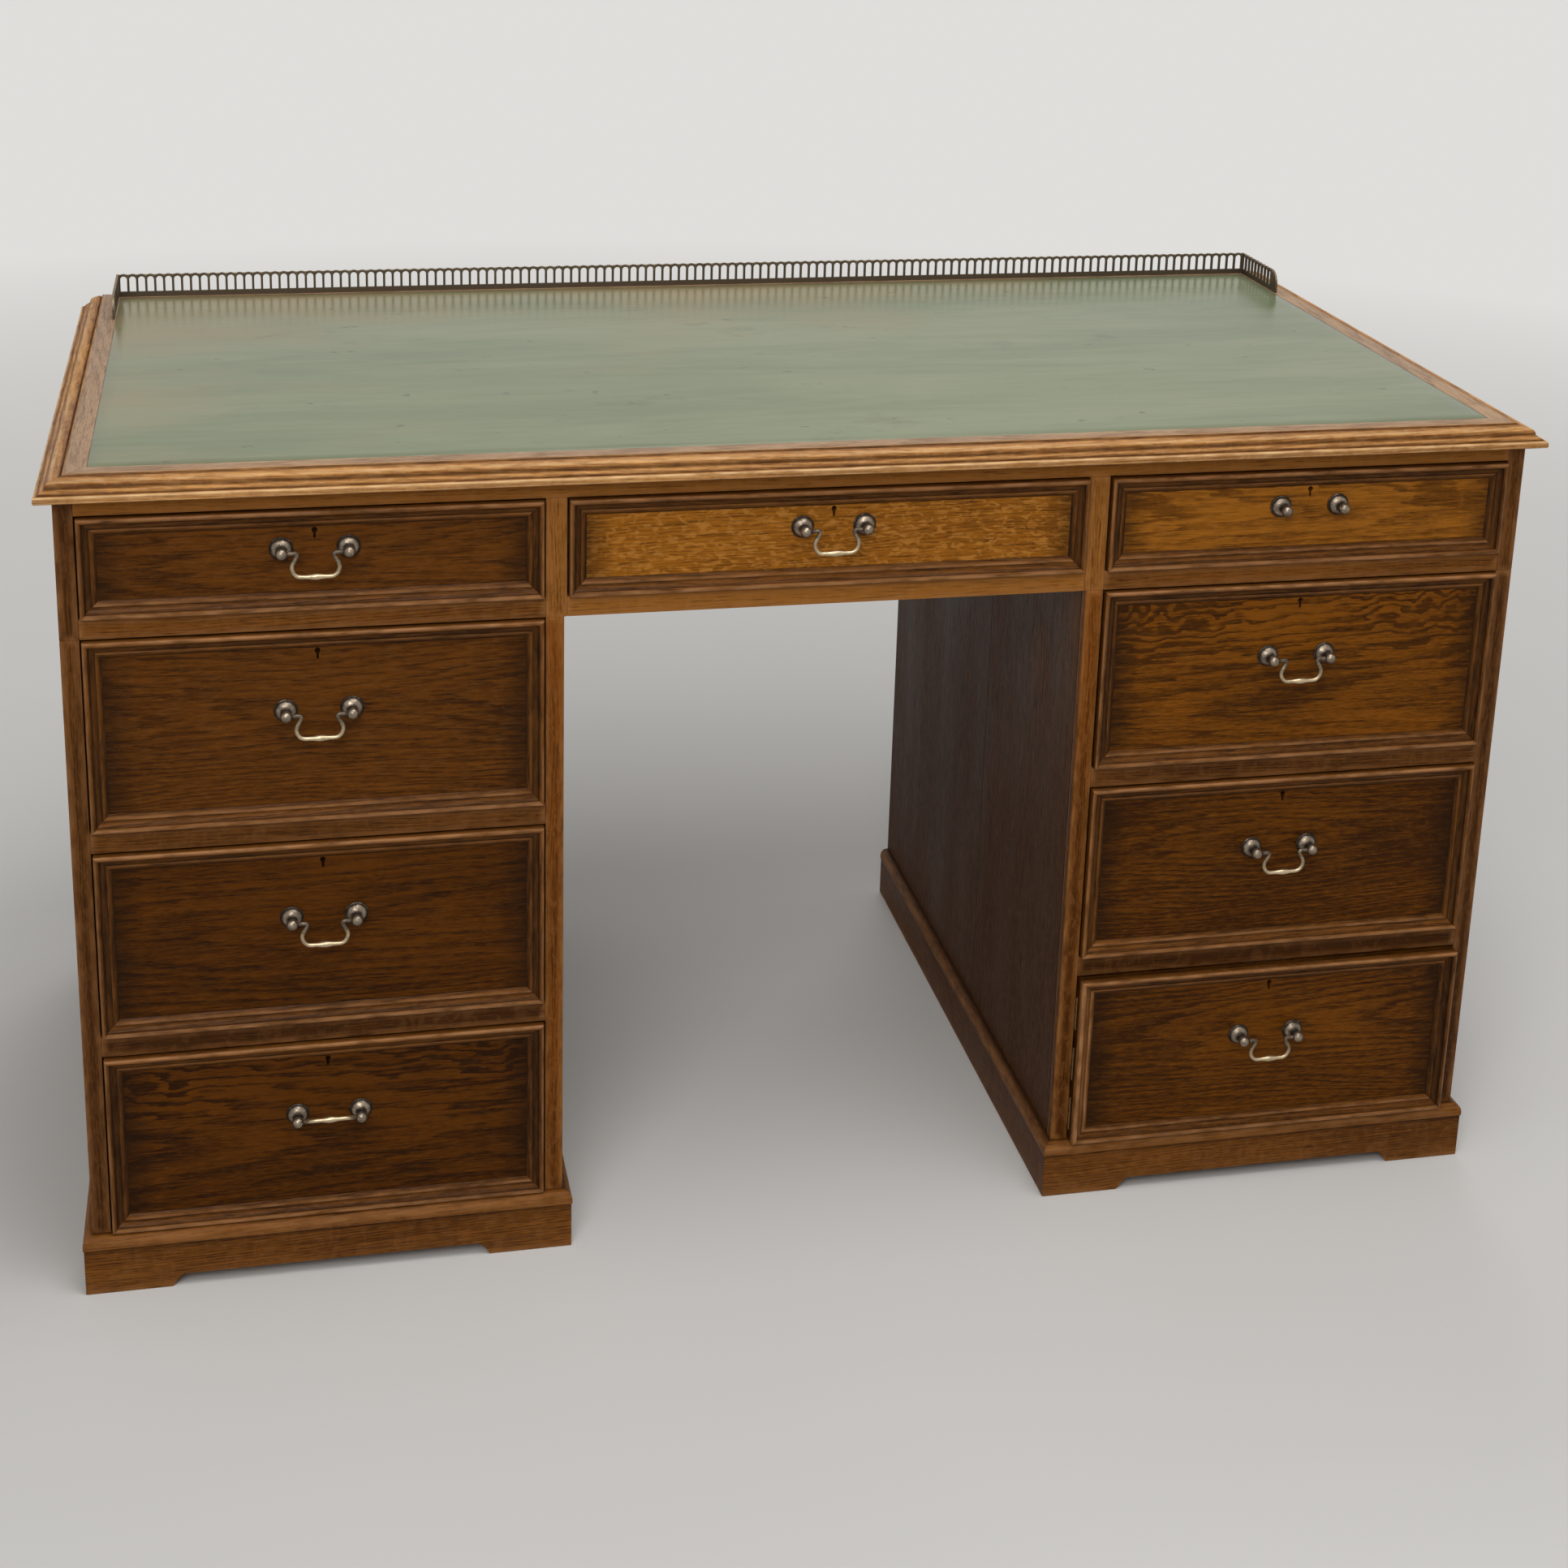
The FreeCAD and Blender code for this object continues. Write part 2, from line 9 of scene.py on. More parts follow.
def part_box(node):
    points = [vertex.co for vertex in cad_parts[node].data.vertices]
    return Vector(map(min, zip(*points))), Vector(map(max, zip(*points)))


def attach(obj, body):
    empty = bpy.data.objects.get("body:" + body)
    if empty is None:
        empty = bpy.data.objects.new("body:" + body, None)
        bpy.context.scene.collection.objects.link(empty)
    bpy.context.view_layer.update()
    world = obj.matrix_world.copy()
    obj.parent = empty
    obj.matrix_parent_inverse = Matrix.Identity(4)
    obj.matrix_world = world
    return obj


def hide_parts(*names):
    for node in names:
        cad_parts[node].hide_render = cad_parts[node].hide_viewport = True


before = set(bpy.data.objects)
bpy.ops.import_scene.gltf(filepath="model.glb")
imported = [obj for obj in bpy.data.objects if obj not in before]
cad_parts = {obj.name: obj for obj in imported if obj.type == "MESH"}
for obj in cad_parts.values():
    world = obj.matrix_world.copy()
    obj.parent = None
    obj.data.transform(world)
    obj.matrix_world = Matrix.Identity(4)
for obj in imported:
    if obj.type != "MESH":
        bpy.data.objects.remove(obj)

bl_info = {
    "name": "Library desk",
    "version": (1, 0, 0),
    "blender": (4, 5, 0),
    "location": "3D View > Sidebar > Desk",
    "description": "Oak pedestal desk with a leather top, a pierced gallery and swan-neck handles",
    "category": "Add Mesh",
}

MM = 0.001
# A hair's breadth, which keeps two faces out of one plane
HAIR = 0.0001
RIGHT, BACK, UP = np.eye(3)
# The axes that the grain of a board can follow
SIDEWAYS, UPRIGHT = 0, 2

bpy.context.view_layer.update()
CARCASE = "desk_carcase"
SIDES = ("left", "right")
FRIEZE = ("frieze_left", "frieze_centre", "frieze_right")
DRAWERS = FRIEZE + tuple(f"{side}_drawer_{row}" for side in SIDES for row in (1, 2, 3))
NO_BAIL = ("frieze_right",)
RAISED_BAIL = {"left_drawer_3": math.radians(122.0)}
QUARTER_SAWN = ("frieze_centre",)
# Each front's finish, shade and figure
FRONT_FINISH = {
    "frieze_left": ("brown", 0.3, 0.0),
    "frieze_centre": ("tiger", 0.35, 0.0),
    "frieze_right": ("gold", 0.25, 1.0),
    "left_drawer_1": ("brown", 0.15, 0.0),
    "left_drawer_2": ("deep", 0.2, 0.0),
    "left_drawer_3": ("deep", 0.1, 0.8),
    "right_drawer_1": ("wavy", 0.0, 1.0),
    "right_drawer_2": ("umber", -0.5, 0.0),
    "right_drawer_3": ("umber", -0.1, 0.2),
}
# Painted light and shade on a drawer's mouldings by the way each length faces: palest on the bottom, which
# looks up, and darkest on the upright sides. Then the one length that is rubbed through
MOULDING_LIGHT_AND_SHADE = {"bottom": 0.45, "top": 0.1, "left": -0.25, "right": -0.25}
RUBBED_THROUGH = {("right_drawer_3", "left"): 0.8}
# Shades of single boards and lengths. Above 0 is paler. The top rail is made paler with painted light where
# the overhanging top shades it, and the plinth lengths that face the kneehole are darkest with painted
# shade.
SHADES = {
    "left end lipping": -0.5,
    "right end lipping": -0.3,
    "left divider lipping": 0.4,
    "right divider lipping": 0.4,
    "left_pedestal_outer_side lipping": -0.2,
    "left_pedestal_inner_side lipping": 0.4,
    "right_pedestal_inner_side lipping": 0.4,
    "right_pedestal_outer_side lipping": -0.2,
    # Painted light where the overhanging top shades the rail
    "top rail": 1.2,
    "left bottom rail": 0.2,
    "centre bottom rail": 1.4,
    "right bottom rail": 0.6,
    "left_pedestal_rails low": -0.8,
    "right_pedestal_rails low": -0.8,
    # Painted shade on the plinth lengths that face the kneehole
    "left_pedestal_plinth right": -1.5,
    "right_pedestal_plinth left": -1.5,
}
# How much darker a pedestal side is at the floor, a painted shade, and the kneehole side that has the
# deepest painted shade
SIDE_FADE = 0.8
DARKEST_SIDE = {"right_pedestal_inner_side": 2.0}
# Joints of the wide sides as shares of their depth. Boards that meet there have a share of the arris, a
# narrow rub and old polish, and the boards of the backs have a share and a polish of their own.
SIDE_JOINTS = {"end": (0.5,), "divider": (0.5,), "outer_side": (0.36, 0.71), "inner_side": (0.42,)}
JOINT_EASE, JOINT_RUB, JOINT_WEAR = 0.4, 0.0015, -0.9
BACK_EASE, BACK_WEAR = 0.6, -0.7

# Outlines as shares of a width and a height. The third number is the wear: 1 is a rubbed crest and
# -1 a corner that holds old polish. On the drawer moulding and the top edge it is also painted light on
# the faces that look up and painted shade in the quirks, coves and slopes.
# On the drawer moulding the crests are paler with wear and painted light, and the quirk, the cove and the
# slopes down to the panel darker with old polish and painted shade
DRAWER_MOULDING = np.array([
    (0, 0, -0.6), (0, 0.8, 0.2), (0.02, 0.9, 0.8), (0.075, 0.973, 0.9), (0.15, 1, 0.5),
    (0.225, 0.973, 0.2), (0.28, 0.9, -0.2), (0.3, 0.8, -0.8), (0.3, 0.62, -1), (0.36, 0.5, -0.7),
    (0.45, 0.4, -0.3), (0.55, 0.335, -0.5), (0.66, 0.3, -1), (0.67, 0.345, -0.3), (0.7, 0.36, 0.25),
    (0.78, 0.32, 0.1), (0.86, 0.26, -0.3), (0.94, 0.15, -0.7), (1, 0.05, -1), (1, 0, -1),
])
# On the top edge the bands that face up are paler with wear and painted light, and the grooves and the cove
# darker with old polish and painted shade
TOP_EDGE = np.array([
    (0.05, 0, -0.4), (0, 0.05, 0.5), (0, 0.14, 0.1), (0, 0.24, 0.3), (0.008, 0.285, 1),
    (0.03, 0.32, 1), (0.065, 0.343, 0.3), (0.11, 0.35, -0.7), (0.15, 0.35, -1), (0.16, 0.4, -1),
    (0.19, 0.425, -0.7), (0.24, 0.47, 0.1), (0.305, 0.515, 0.2), (0.38, 0.56, -0.9), (0.392, 0.63, -1),
    (0.4, 0.7, -0.7), (0.43, 0.765, -0.2), (0.48, 0.815, 0.4), (0.55, 0.86, 0.5), (0.64, 0.9, 0.2),
    (0.75, 0.925, -0.1), (0.83, 0.937, -0.7), (0.86, 0.94, -1), (0.89, 0.87, -1), (0.95, 1, -0.9),
    (0.98, 1, 0), (1, 1, 0.3), (1, 0, 0),
])
PLINTH = np.array([
    (0.045, 0, 0.9), (0.045, 0.1, 0.2), (0.045, 0.45, 0), (0.045, 0.7, -0.2), (0.045, 0.785, -0.9),
    (0, 0.79, 0.4), (0, 0.87, 0.8), (0.02, 0.905, 1), (0.06, 0.94, 0.8), (0.115, 0.965, 0.5),
    (0.2, 0.985, 0.2), (0.3, 0.996, -0.3), (0.4, 1, -0.9), (1, 1, 0), (1, 0, 0),
])
BORDER = np.array([
    (0, 0, 0), (0, 0.95, -0.5), (0.02, 1, 0.1), (0.5, 1, 0), (0.96, 1, 0.1),
    (0.99, 0.97, -0.6), (0.99, 0, 0),
])
# The first square section of a plinth front behind each of its mitres
PLINTH_SQUARE = 0.03

# A handle post, and the collar round an empty pin hole: radius and reach in millimetres, and wear
POST = np.array([
    (10.5, 0, -0.8), (10.5, 0.7, -0.4), (10.25, 1.15, 0.2), (9.75, 1.4, 0.1), (9.5, 1.75, -0.7),
    (9.2, 2.6, 0.1), (8.4, 3.7, 0.7), (7.2, 4.8, 1), (5.7, 5.8, 0.9), (4.4, 6.5, 0.2), (3.6, 7.1, -0.8),
    (3.15, 8.2, -1), (3.15, 9.6, -0.8), (3.5, 10.8, -0.3), (4.3, 12.1, 0.1), (5, 13.3, 0.5),
    (5.3, 14.6, 0.8), (5.3, 15.6, 1), (5, 16.9, 1), (4.3, 18.2, 1), (3.2, 19.3, 1),
    (1.9, 20, 1), (0.6, 20.3, 1),
])
COLLAR = np.array([(2.5, 3.6, 0), (2.5, 5.5, 0.6), (1.7, 5.5, 0.2), (1.6, 4.4, -1)])
POST_SIDES, COLLAR_SIDES = 32, 16
# The angle up to which turned and bent brass is shaded as round
ROUND_BRASS = 50.0

# The left half of a bail, in millimetres from the middle between its pins: the corners of its route, how
# far each bend cuts its corner, the sections of its pin, and its bar with the part that swells
BAIL_ROUTE = ((-26.4, 0.0), (-14.0, 0.4), (-21.4, -13.0), (-16.4, -21.5), (0.0, -21.5))
BAIL_BENDS = (4.8, 5.4, 4.4)
BAIL_PIN = (-26.4, -23.0, -22.8, -22.3)
BAIL_DROP, BAR_HALF, SWELL_HALF = 21.5, 9.5, 9.0
PIN_RADIUS, SHOULDER_RADIUS, ROD_RADIUS, SWELL = 1.5, 2.35, 1.9, 1.0

# A keyhole in millimetres: the radius of its head, half its slot and the heights down its slot. Then, in
# metres, its place under the moulding, and the way from the mouldings to the paler field of a panel
KEYHOLE_HEAD, KEYHOLE_SLOT = 2.5, 1.1
KEYHOLE_FLANK, KEYHOLE_SEAM, KEYHOLE_FOOT, KEYHOLE_END = (-8.6, -7.1, -5.6), -9.4, -10.1, -10.5
KEYHOLE_DROP, KEYHOLE_DEPTH = 0.0011, 0.006
FIELD_INSET = (0.026, 0.0008)

# The way from the heart of the trunk to the carried-over boards, so that no ring closes on a drawer bottom
OFF_HEART = (0.865, 0.06, 0.35)

# The stage: lamps with their places, powers and aims, and the camera with its place, turns and lens
FLOOR_HALF, FLOOR_DROP = 40.0, 0.0005
LAMP_SIZE = 2.2
LAMPS = (
    ("key", (0.3, -1.0, 3.2), 46.0, (0.0, -0.1, 0.6)),
    ("fill", (-1.3, -3.4, 3.0), 64.0, (0.0, 0.0, 0.4)),
    ("back", (0.6, 2.4, 3.9), 34.0, (0.0, 0.3, 0.5)),
)
SKY_TINT = (1.0, 0.985, 0.96, 1.0)
SKY_LIGHT, SKY_SEEN = 0.25, 0.82
CAMERA_PLACE = (-0.495365, -2.322416, 1.4119)
CAMERA_TURN, CAMERA_TILT, CAMERA_ROLL = (math.radians(angle) for angle in (-12.4957, 74.2007, 1.666))
CAMERA_SENSOR, CAMERA_LENS, CAMERA_SHIFT = 36.0, 56.075, -475.0 / 1932.0


# Surfaces

class Surface:
    """Points with faces of one or more sizes, and what its finish needs to know at each point."""

    def __init__(self, points, faces, grain, wear, tone=0.0, figure=0.0):
        self.points = np.asarray(points, float).reshape(-1, 3)
        self.faces = faces
        self.grain = np.asarray(grain, float).reshape(-1, 3)
        self.wear, self.tone, self.figure = (self.for_each_point(values) for values in (wear, tone, figure))
        if self.volume() < 0:
            self.faces = [face[:, ::-1] for face in self.faces]

    def for_each_point(self, values):
        """One number for each point, from a grid of them or from one number for all."""
        return np.broadcast_to(np.asarray(values, float).reshape(-1), len(self.points))

    def volume(self):
        """A sixth of the sum of a . (b x c) over the fans of all faces: below 0 the faces point inwards."""
        total = 0.0
        for face in self.faces:
            a = self.points[face[:, :1]]
            total += np.sum(a * np.cross(self.points[face[:, 1:-1]], self.points[face[:, 2:]]))
        return total / 6

    def swung(self, angle, pivot):
        """The surface turned about an X axis through the pivot, so that what hangs down comes forward."""
        c, s = math.cos(angle), math.sin(angle)
        self.points = (self.points - pivot) @ np.array([(1, 0, 0), (0, c, -s), (0, s, c)]) + pivot
        return self


def strip(rows, columns, wrap_rows=False):
    """Quads between neighbouring points of a grid that is numbered row by row and whose rows are closed."""
    r, c = np.meshgrid(np.arange(rows - (not wrap_rows)), np.arange(columns), indexing="ij")
    r1, c1 = (r + 1) % rows, (c + 1) % columns
    quads = (r * columns + c, r1 * columns + c, r1 * columns + c1, r * columns + c1)
    return np.stack(quads, -1).reshape(-1, 4)


def tube_faces(rows, columns):
    """The quads round a tube and one flat face at each end."""
    ends = np.stack([np.arange(columns)[::-1], (rows - 1) * columns + np.arange(columns)])
    return [strip(rows, columns), ends]


def circle(sides):
    """The angles of evenly spaced points round a circle."""
    return np.arange(sides) * 2 * np.pi / sides


def chance(*words):
    """Three numbers from 0 to 1 that are always the same for the same words."""
    seed = sum((i + 1) * ord(letter) for i, letter in enumerate("/".join(map(str, words))))
    return np.random.default_rng(seed).random(3)


def cut_of_board(name, quarter):
    """Where a board lay in the trunk: metres along it, and across and out from its heart.

    A quarter-sawn board lay 0.16 to 0.26 across, and a flat-sawn one lay 0.035 to 0.085 over the heart.
    """
    a, b, c = chance(name)
    if quarter:
        return np.array((a * 3.0, 0.16 + 0.1 * b, 0.01 * c))
    return np.array((a * 3.0, 0.08 * (b - 0.5), 0.035 + 0.05 * c))


def tone_of_board(name, spread):
    """The shade of a board or length, moved by chance up to half the spread either way."""
    return SHADES.get(name, 0.0) + spread * (chance(name, "tone")[0] - 0.5)


def eased_board(name, low, high, along, arris, rub=0.006, quarter=False, worn=1.0, fade=0.0):
    """A board with rounded arrises.

    Its outline is four corner arcs of the arris radius with a point on the flat beside each end of an arc.
    It is carried along the grain, and drawn in by the same radius over the last part of each end. Its tone
    falls by the fade from its far end to its near end: a painted shade, which darkens the pedestal sides
    towards the floor.
    """
    low, high = np.asarray(low, float), np.asarray(high, float)
    half, middle = (high - low) / 2, (high + low) / 2
    across, through = sorted((axis for axis in range(3) if axis != along), key=lambda axis: -half[axis])
    r = min(arris, 0.4 * half.min())
    quarter_turn = np.repeat(np.arange(4) * np.pi / 2, 5)
    normal_turn = quarter_turn + np.tile((0, 0, np.pi / 4, np.pi / 2, np.pi / 2), 4)
    flank = np.tile((-1, 0, 0, 0, 1), 4)
    limits = np.where(np.abs(np.cos(normal_turn)) > 0.5, half[through], half[across]) - r
    reach = flank * np.minimum(rub, 0.8 * limits)
    signs = np.stack([np.cos(quarter_turn + np.pi / 4), np.sin(quarter_turn + np.pi / 4)], -1)
    normal = np.stack([np.cos(normal_turn), np.sin(normal_turn)], -1)
    tangent = np.stack([-normal[:, 1], normal[:, 0]], -1)
    core = np.sign(signs) * (half[[across, through]] - r) + tangent * reach[:, None]
    ease = np.array((0.35, 0.8, 1.0, 1.0))
    depth = np.array((0.0, 0.3 * r, r, r + min(rub, 0.4 * half[along])))
    ease = np.concatenate([ease, ease[::-1]])
    place = np.concatenate([depth - half[along], half[along] - depth[::-1]])
    flat = core[None] + r * ease[:, None, None] * normal[None]
    points = np.zeros(flat.shape[:2] + (3,))
    points[..., along] = place[:, None]
    points[..., across] = flat[..., 0]
    points[..., through] = flat[..., 1]
    near_end = (np.arange(8) < 3) | (np.arange(8) > 4)
    wear = worn * np.maximum(near_end[:, None], (flank == 0)[None])
    grain = points[..., (along, across, through)] + cut_of_board(name, quarter)
    tone = tone_of_board(name, 0.6) - fade * (half[along] - place) / (2 * half[along])
    tone = np.broadcast_to(tone[:, None], flat.shape[:2])
    return Surface(points + middle, tube_faces(*flat.shape[:2]), grain, wear, tone)


def moulded_length(name, profile, start, end, inward, upward, width, height, mitres=(1, 1), rub=0.0,
                   lift=None):
    """A profile carried along a straight line, with its outer lower edge on the line.

    A point of the profile lies a share of the width inwards and a share of the height upwards. At a mitred
    end it is also drawn back along the line by the distance that it lies inwards. Where lift is given, as
    pairs of a place along the line and a height, the lowest points rise to it.
    """
    start, end = np.asarray(start, float), np.asarray(end, float)
    length = np.linalg.norm(end - start)
    line = (end - start) / length
    w, h = profile[:, 0] * width, profile[:, 1] * height
    stations = np.array((0.0, length)) if lift is None else lift[:, 0]
    share = stations / length
    along = stations[:, None] + w[None] * ((share == 0) * mitres[0] - (share == 1) * mitres[1])[:, None]
    rise = np.broadcast_to(h, along.shape)
    if lift is not None:
        rise = np.maximum(rise, lift[:, 1:2])
    points = start + along[..., None] * line + w[None, :, None] * inward + rise[..., None] * upward
    grain = np.stack([along, np.broadcast_to(w, along.shape), rise], -1) + cut_of_board(name, False)
    # The rub is added to the outline's wear. On drawer mouldings it is painted light on the bottom length,
    # which faces up, and painted shade on the upright lengths.
    wear = np.broadcast_to(np.clip(profile[:, 2] + rub, -1, 1), along.shape)
    return Surface(points, tube_faces(*along.shape), grain, wear, tone_of_board(name, 0.5))


def three_sides(name, profile, low, high, width, height, lift=None):
    """One profile along the front, the right and the left of a rectangle, mitred at its front corners."""
    front_left, front_right = low, (high[0], low[1], low[2])
    back_left, back_right = (low[0], high[1], low[2]), (high[0], high[1], low[2])
    size = (UP, width, height)
    return [
        moulded_length(f"{name} front", profile, front_left, front_right, BACK, *size, lift=lift),
        moulded_length(f"{name} right", profile, front_right, back_right, -RIGHT, *size, (1, 0)),
        moulded_length(f"{name} left", profile, front_left, back_left, RIGHT, *size, (1, 0)),
    ]


def side_boards(name, low, high, joints, s, fade=0.0):
    """The front lipping of one wide side and the boards behind it. The joints are shares of its depth."""
    front = low[1] + s.lipping
    edges = front + np.array((0.0, *joints, 1.0)) * (high[1] - front)
    lipping = eased_board(f"{name} lipping", low, (high[0], front, high[2]), UPRIGHT, s.arris, quarter=True,
                          fade=fade)
    boards = [
        eased_board(f"{name} {i}", (low[0], a, low[2]), (high[0], b, high[2]), UPRIGHT,
                    s.arris * JOINT_EASE, JOINT_RUB, worn=JOINT_WEAR, fade=fade)
        for i, (a, b) in enumerate(zip(edges, edges[1:]))
    ]
    return lipping, boards


def turned(profile, base, axis, first, second, sides):
    """A profile of radius, reach and wear turned about an axis.

    A point lies its reach along the axis from the base, and its radius away from the axis on a circle that
    starts at the first way and goes on to the second.
    """
    radius, reach = profile[:, :2].T[..., None, None] * MM
    turn = circle(sides)[:, None]
    points = reach * axis + radius * (np.cos(turn) * first + np.sin(turn) * second)
    return Surface(points + base, tube_faces(len(profile), sides), points, np.repeat(profile[:, 2], sides))


def rounded_route(route, cuts, steps=7):
    """A plane route with a parabola at each corner, between the points a cut away from it on both runs."""
    route, cuts = np.asarray(route, float), np.asarray(cuts, float)[:, None]
    back, ahead = route[:-2] - route[1:-1], route[2:] - route[1:-1]
    before = route[1:-1] + back / np.linalg.norm(back, axis=1, keepdims=True) * cuts
    after = route[1:-1] + ahead / np.linalg.norm(ahead, axis=1, keepdims=True) * cuts
    t = np.linspace(0, 1, steps)[None, :, None]
    bends = (1 - t) ** 2 * before[:, None] + 2 * t * (1 - t) * route[1:-1, None] + t ** 2 * after[:, None]
    return np.concatenate([route[:1], bends.reshape(-1, 2), route[-1:]])


def swan_neck_bail(pivot, sides=14, steps=8):
    """A round rod carried along a route that is the same on both sides of the middle.

    It leaves each post inwards, turns back out and down over the neck, and in again to the bar. The radius
    is that of the pin inside the posts, of the rod elsewhere, and grows to the middle of the bar as the
    square of a cosine.
    """
    pin = np.stack([BAIL_PIN, np.zeros(len(BAIL_PIN))], -1)
    bar = np.stack([np.linspace(-BAR_HALF, 0, steps), np.full(steps, -BAIL_DROP)], -1)
    half = np.concatenate([pin, rounded_route(BAIL_ROUTE, BAIL_BENDS)[1:-1], bar])
    route = np.concatenate([half, (half[:-1] * (-1, 1))[::-1]])
    x, z = route.T
    swell = np.where(np.abs(x) < SWELL_HALF, np.cos(np.pi * x / (2 * SWELL_HALF)) ** 2, 0)
    radius = ROD_RADIUS + SWELL * swell
    radius[[0, 1, -2, -1]] = PIN_RADIUS
    radius[[2, -3]] = SHOULDER_RADIUS
    run = np.gradient(route, axis=0)
    run /= np.linalg.norm(run, axis=1, keepdims=True)
    side = np.stack([-run[:, 1], run[:, 0]], -1)
    turn = circle(sides)
    plane = route[:, None] + radius[:, None, None] * np.cos(turn)[None, :, None] * side[:, None]
    depth = radius[:, None] * np.sin(turn)
    points = np.stack([plane[..., 0], depth, plane[..., 1]], -1) * MM
    wear = np.clip(-z / BAIL_DROP, 0, 1)
    return Surface(points + pivot, tube_faces(len(route), sides), points, np.repeat(wear, sides))


def keyhole():
    """Twenty points round a keyhole, measured from its highest point: an arc over a parallel slot."""
    turn = np.radians(np.linspace(-40, 220, 10))
    head = KEYHOLE_HEAD * np.stack([np.cos(turn), np.sin(turn) - 1], -1)
    flank = np.stack([np.full(3, KEYHOLE_SLOT), KEYHOLE_FLANK], -1)
    foot = [(-KEYHOLE_SLOT, KEYHOLE_FOOT), (0, KEYHOLE_END), (KEYHOLE_SLOT, KEYHOLE_FOOT)]
    return np.concatenate([foot, flank, head, flank[::-1] * (-1, 1), [(-KEYHOLE_SLOT, KEYHOLE_SEAM)]]) * MM


def keyed_panel(name, low, high, moulding, quarter, shade, figure):
    """A drawer panel with a keyhole.

    Each row of the grid is a closed line of as many points: the floor and the mouth of the keyhole, two
    rectangles inside the mouldings, and the front edge and the back edge of the panel. The two ends are
    closed. The floor of the keyhole is darkened with painted shade for the depth of the hole. Old polish is
    left along the mouldings, and the panel is palest round the keyhole.
    """
    front, back = low[1], high[1]
    corner, size = low[[0, 2]], (high - low)[[0, 2]]
    middle = corner + size / 2
    slot = keyhole() + (middle[0], high[2] - moulding - KEYHOLE_DROP)
    share = np.array([
        (0, 0), (0.5, 0), (1, 0), (1, 0.25), (1, 0.5), (1, 0.7), (1, 0.85), (1, 0.95), (1, 1), (0.75, 1),
        (0.55, 1), (0.45, 1), (0.25, 1), (0, 1), (0, 0.95), (0, 0.85), (0, 0.7), (0, 0.5), (0, 0.25),
        (0, 0.1),
    ])
    field, beside, outer = (corner + inset + share * (size - 2 * inset)
                            for inset in (moulding + np.array(FIELD_INSET), moulding, 0.0))
    lines = np.stack([slot, slot, field, beside, outer, outer])
    grid = lines.shape[:2]
    depth, wear, tone = (np.broadcast_to(np.array(rows)[:, None], grid) for rows in (
        (front + KEYHOLE_DEPTH, front, front, front, front, back),
        (-1.0, -0.1, 0.0, -0.8, -1.0, 0.0),
        (0.4, 0.4, -0.1, -0.3, 0.0, 0.0),
    ))
    points = np.stack([lines[..., 0], depth, lines[..., 1]], -1)
    centre = np.array((middle[0], front, middle[1]))
    grain = (points - centre)[..., (0, 2, 1)] + cut_of_board(name, quarter)
    shown = figure * np.clip((lines[..., 1] - low[2]) / size[1] * 2.2 - 0.7, 0, 1)
    shown[:2] *= 0.3
    return Surface(points, tube_faces(*grid), grain, wear, shade + tone, shown)


def gallery_cells(start, line, count, pitch, upright, base, crown, height, thickness):
    """A row of like cells, each with an arched opening.

    A cell's grid has four closed rows of eleven points: the outline and the opening on the front, and the
    opening and the outline on the back. The top of the outline rises a little over each opening.
    """
    out = np.array((-line[1], line[0], 0.0))
    middle, half, waist = pitch / 2, (pitch - upright) / 2, (base + crown) / 2
    turn = np.linspace(0, np.pi, 6)
    arch = np.stack([middle + half * np.cos(turn), crown - half + half * np.sin(turn) * 0.9], -1)
    opening = np.concatenate([
        [(middle - half, base), (middle, base), (middle + half, base), (middle + half, waist)],
        arch, [(middle - half, waist)],
    ])
    top = np.linspace(pitch, 0, 6)
    scallop = height - 5 * HAIR * (1 + np.cos(2 * np.pi * top / pitch))
    outline = np.concatenate([
        [(0, 0), (middle, 0), (pitch, 0), (pitch, waist)],
        np.stack([top, scallop], -1), [(0, waist)],
    ])
    flat = np.stack([outline, opening, opening, outline])
    depth = np.array((0.0, 0.0, thickness, thickness))[:, None, None]
    cell = flat[..., :1] * line + depth * out + flat[..., 1:] * UP
    moves = np.arange(count)[:, None] * pitch * line
    points = (start + moves[:, None, None] + cell[None]).reshape(-1, 3)
    faces = strip(4, flat.shape[1], wrap_rows=True)
    every = (np.arange(count)[:, None, None] * 4 * flat.shape[1] + faces[None]).reshape(-1, 4)
    rim = np.where(outline[:, 1] > crown, 1.0, 0.0)
    hole = np.full(len(opening), -0.4)
    wear = np.tile(np.concatenate([rim, hole, hole, rim]), count)
    return Surface(points, [every], points, wear)


def gallery_foot(start, line, length, height, thickness):
    """A plain strip with a rounded top corner at its far end: an outline carried through the thickness."""
    out = np.array((-line[1], line[0], 0.0))
    turn = np.linspace(0, np.pi / 2, 9)
    radius = min(length, height) * 0.95
    corner = np.array((length, height)) - radius + radius * np.stack([np.cos(turn), np.sin(turn)], -1)
    outline = np.concatenate([[(0, height), (0, 0), (length, 0)], corner])
    flat = outline[:, :1] * line + outline[:, 1:] * UP
    points = start + np.stack([flat, flat + thickness * out])
    return Surface(points, tube_faces(2, len(outline)), points, np.tile(outline[:, 1] / height, 2))


# Objects

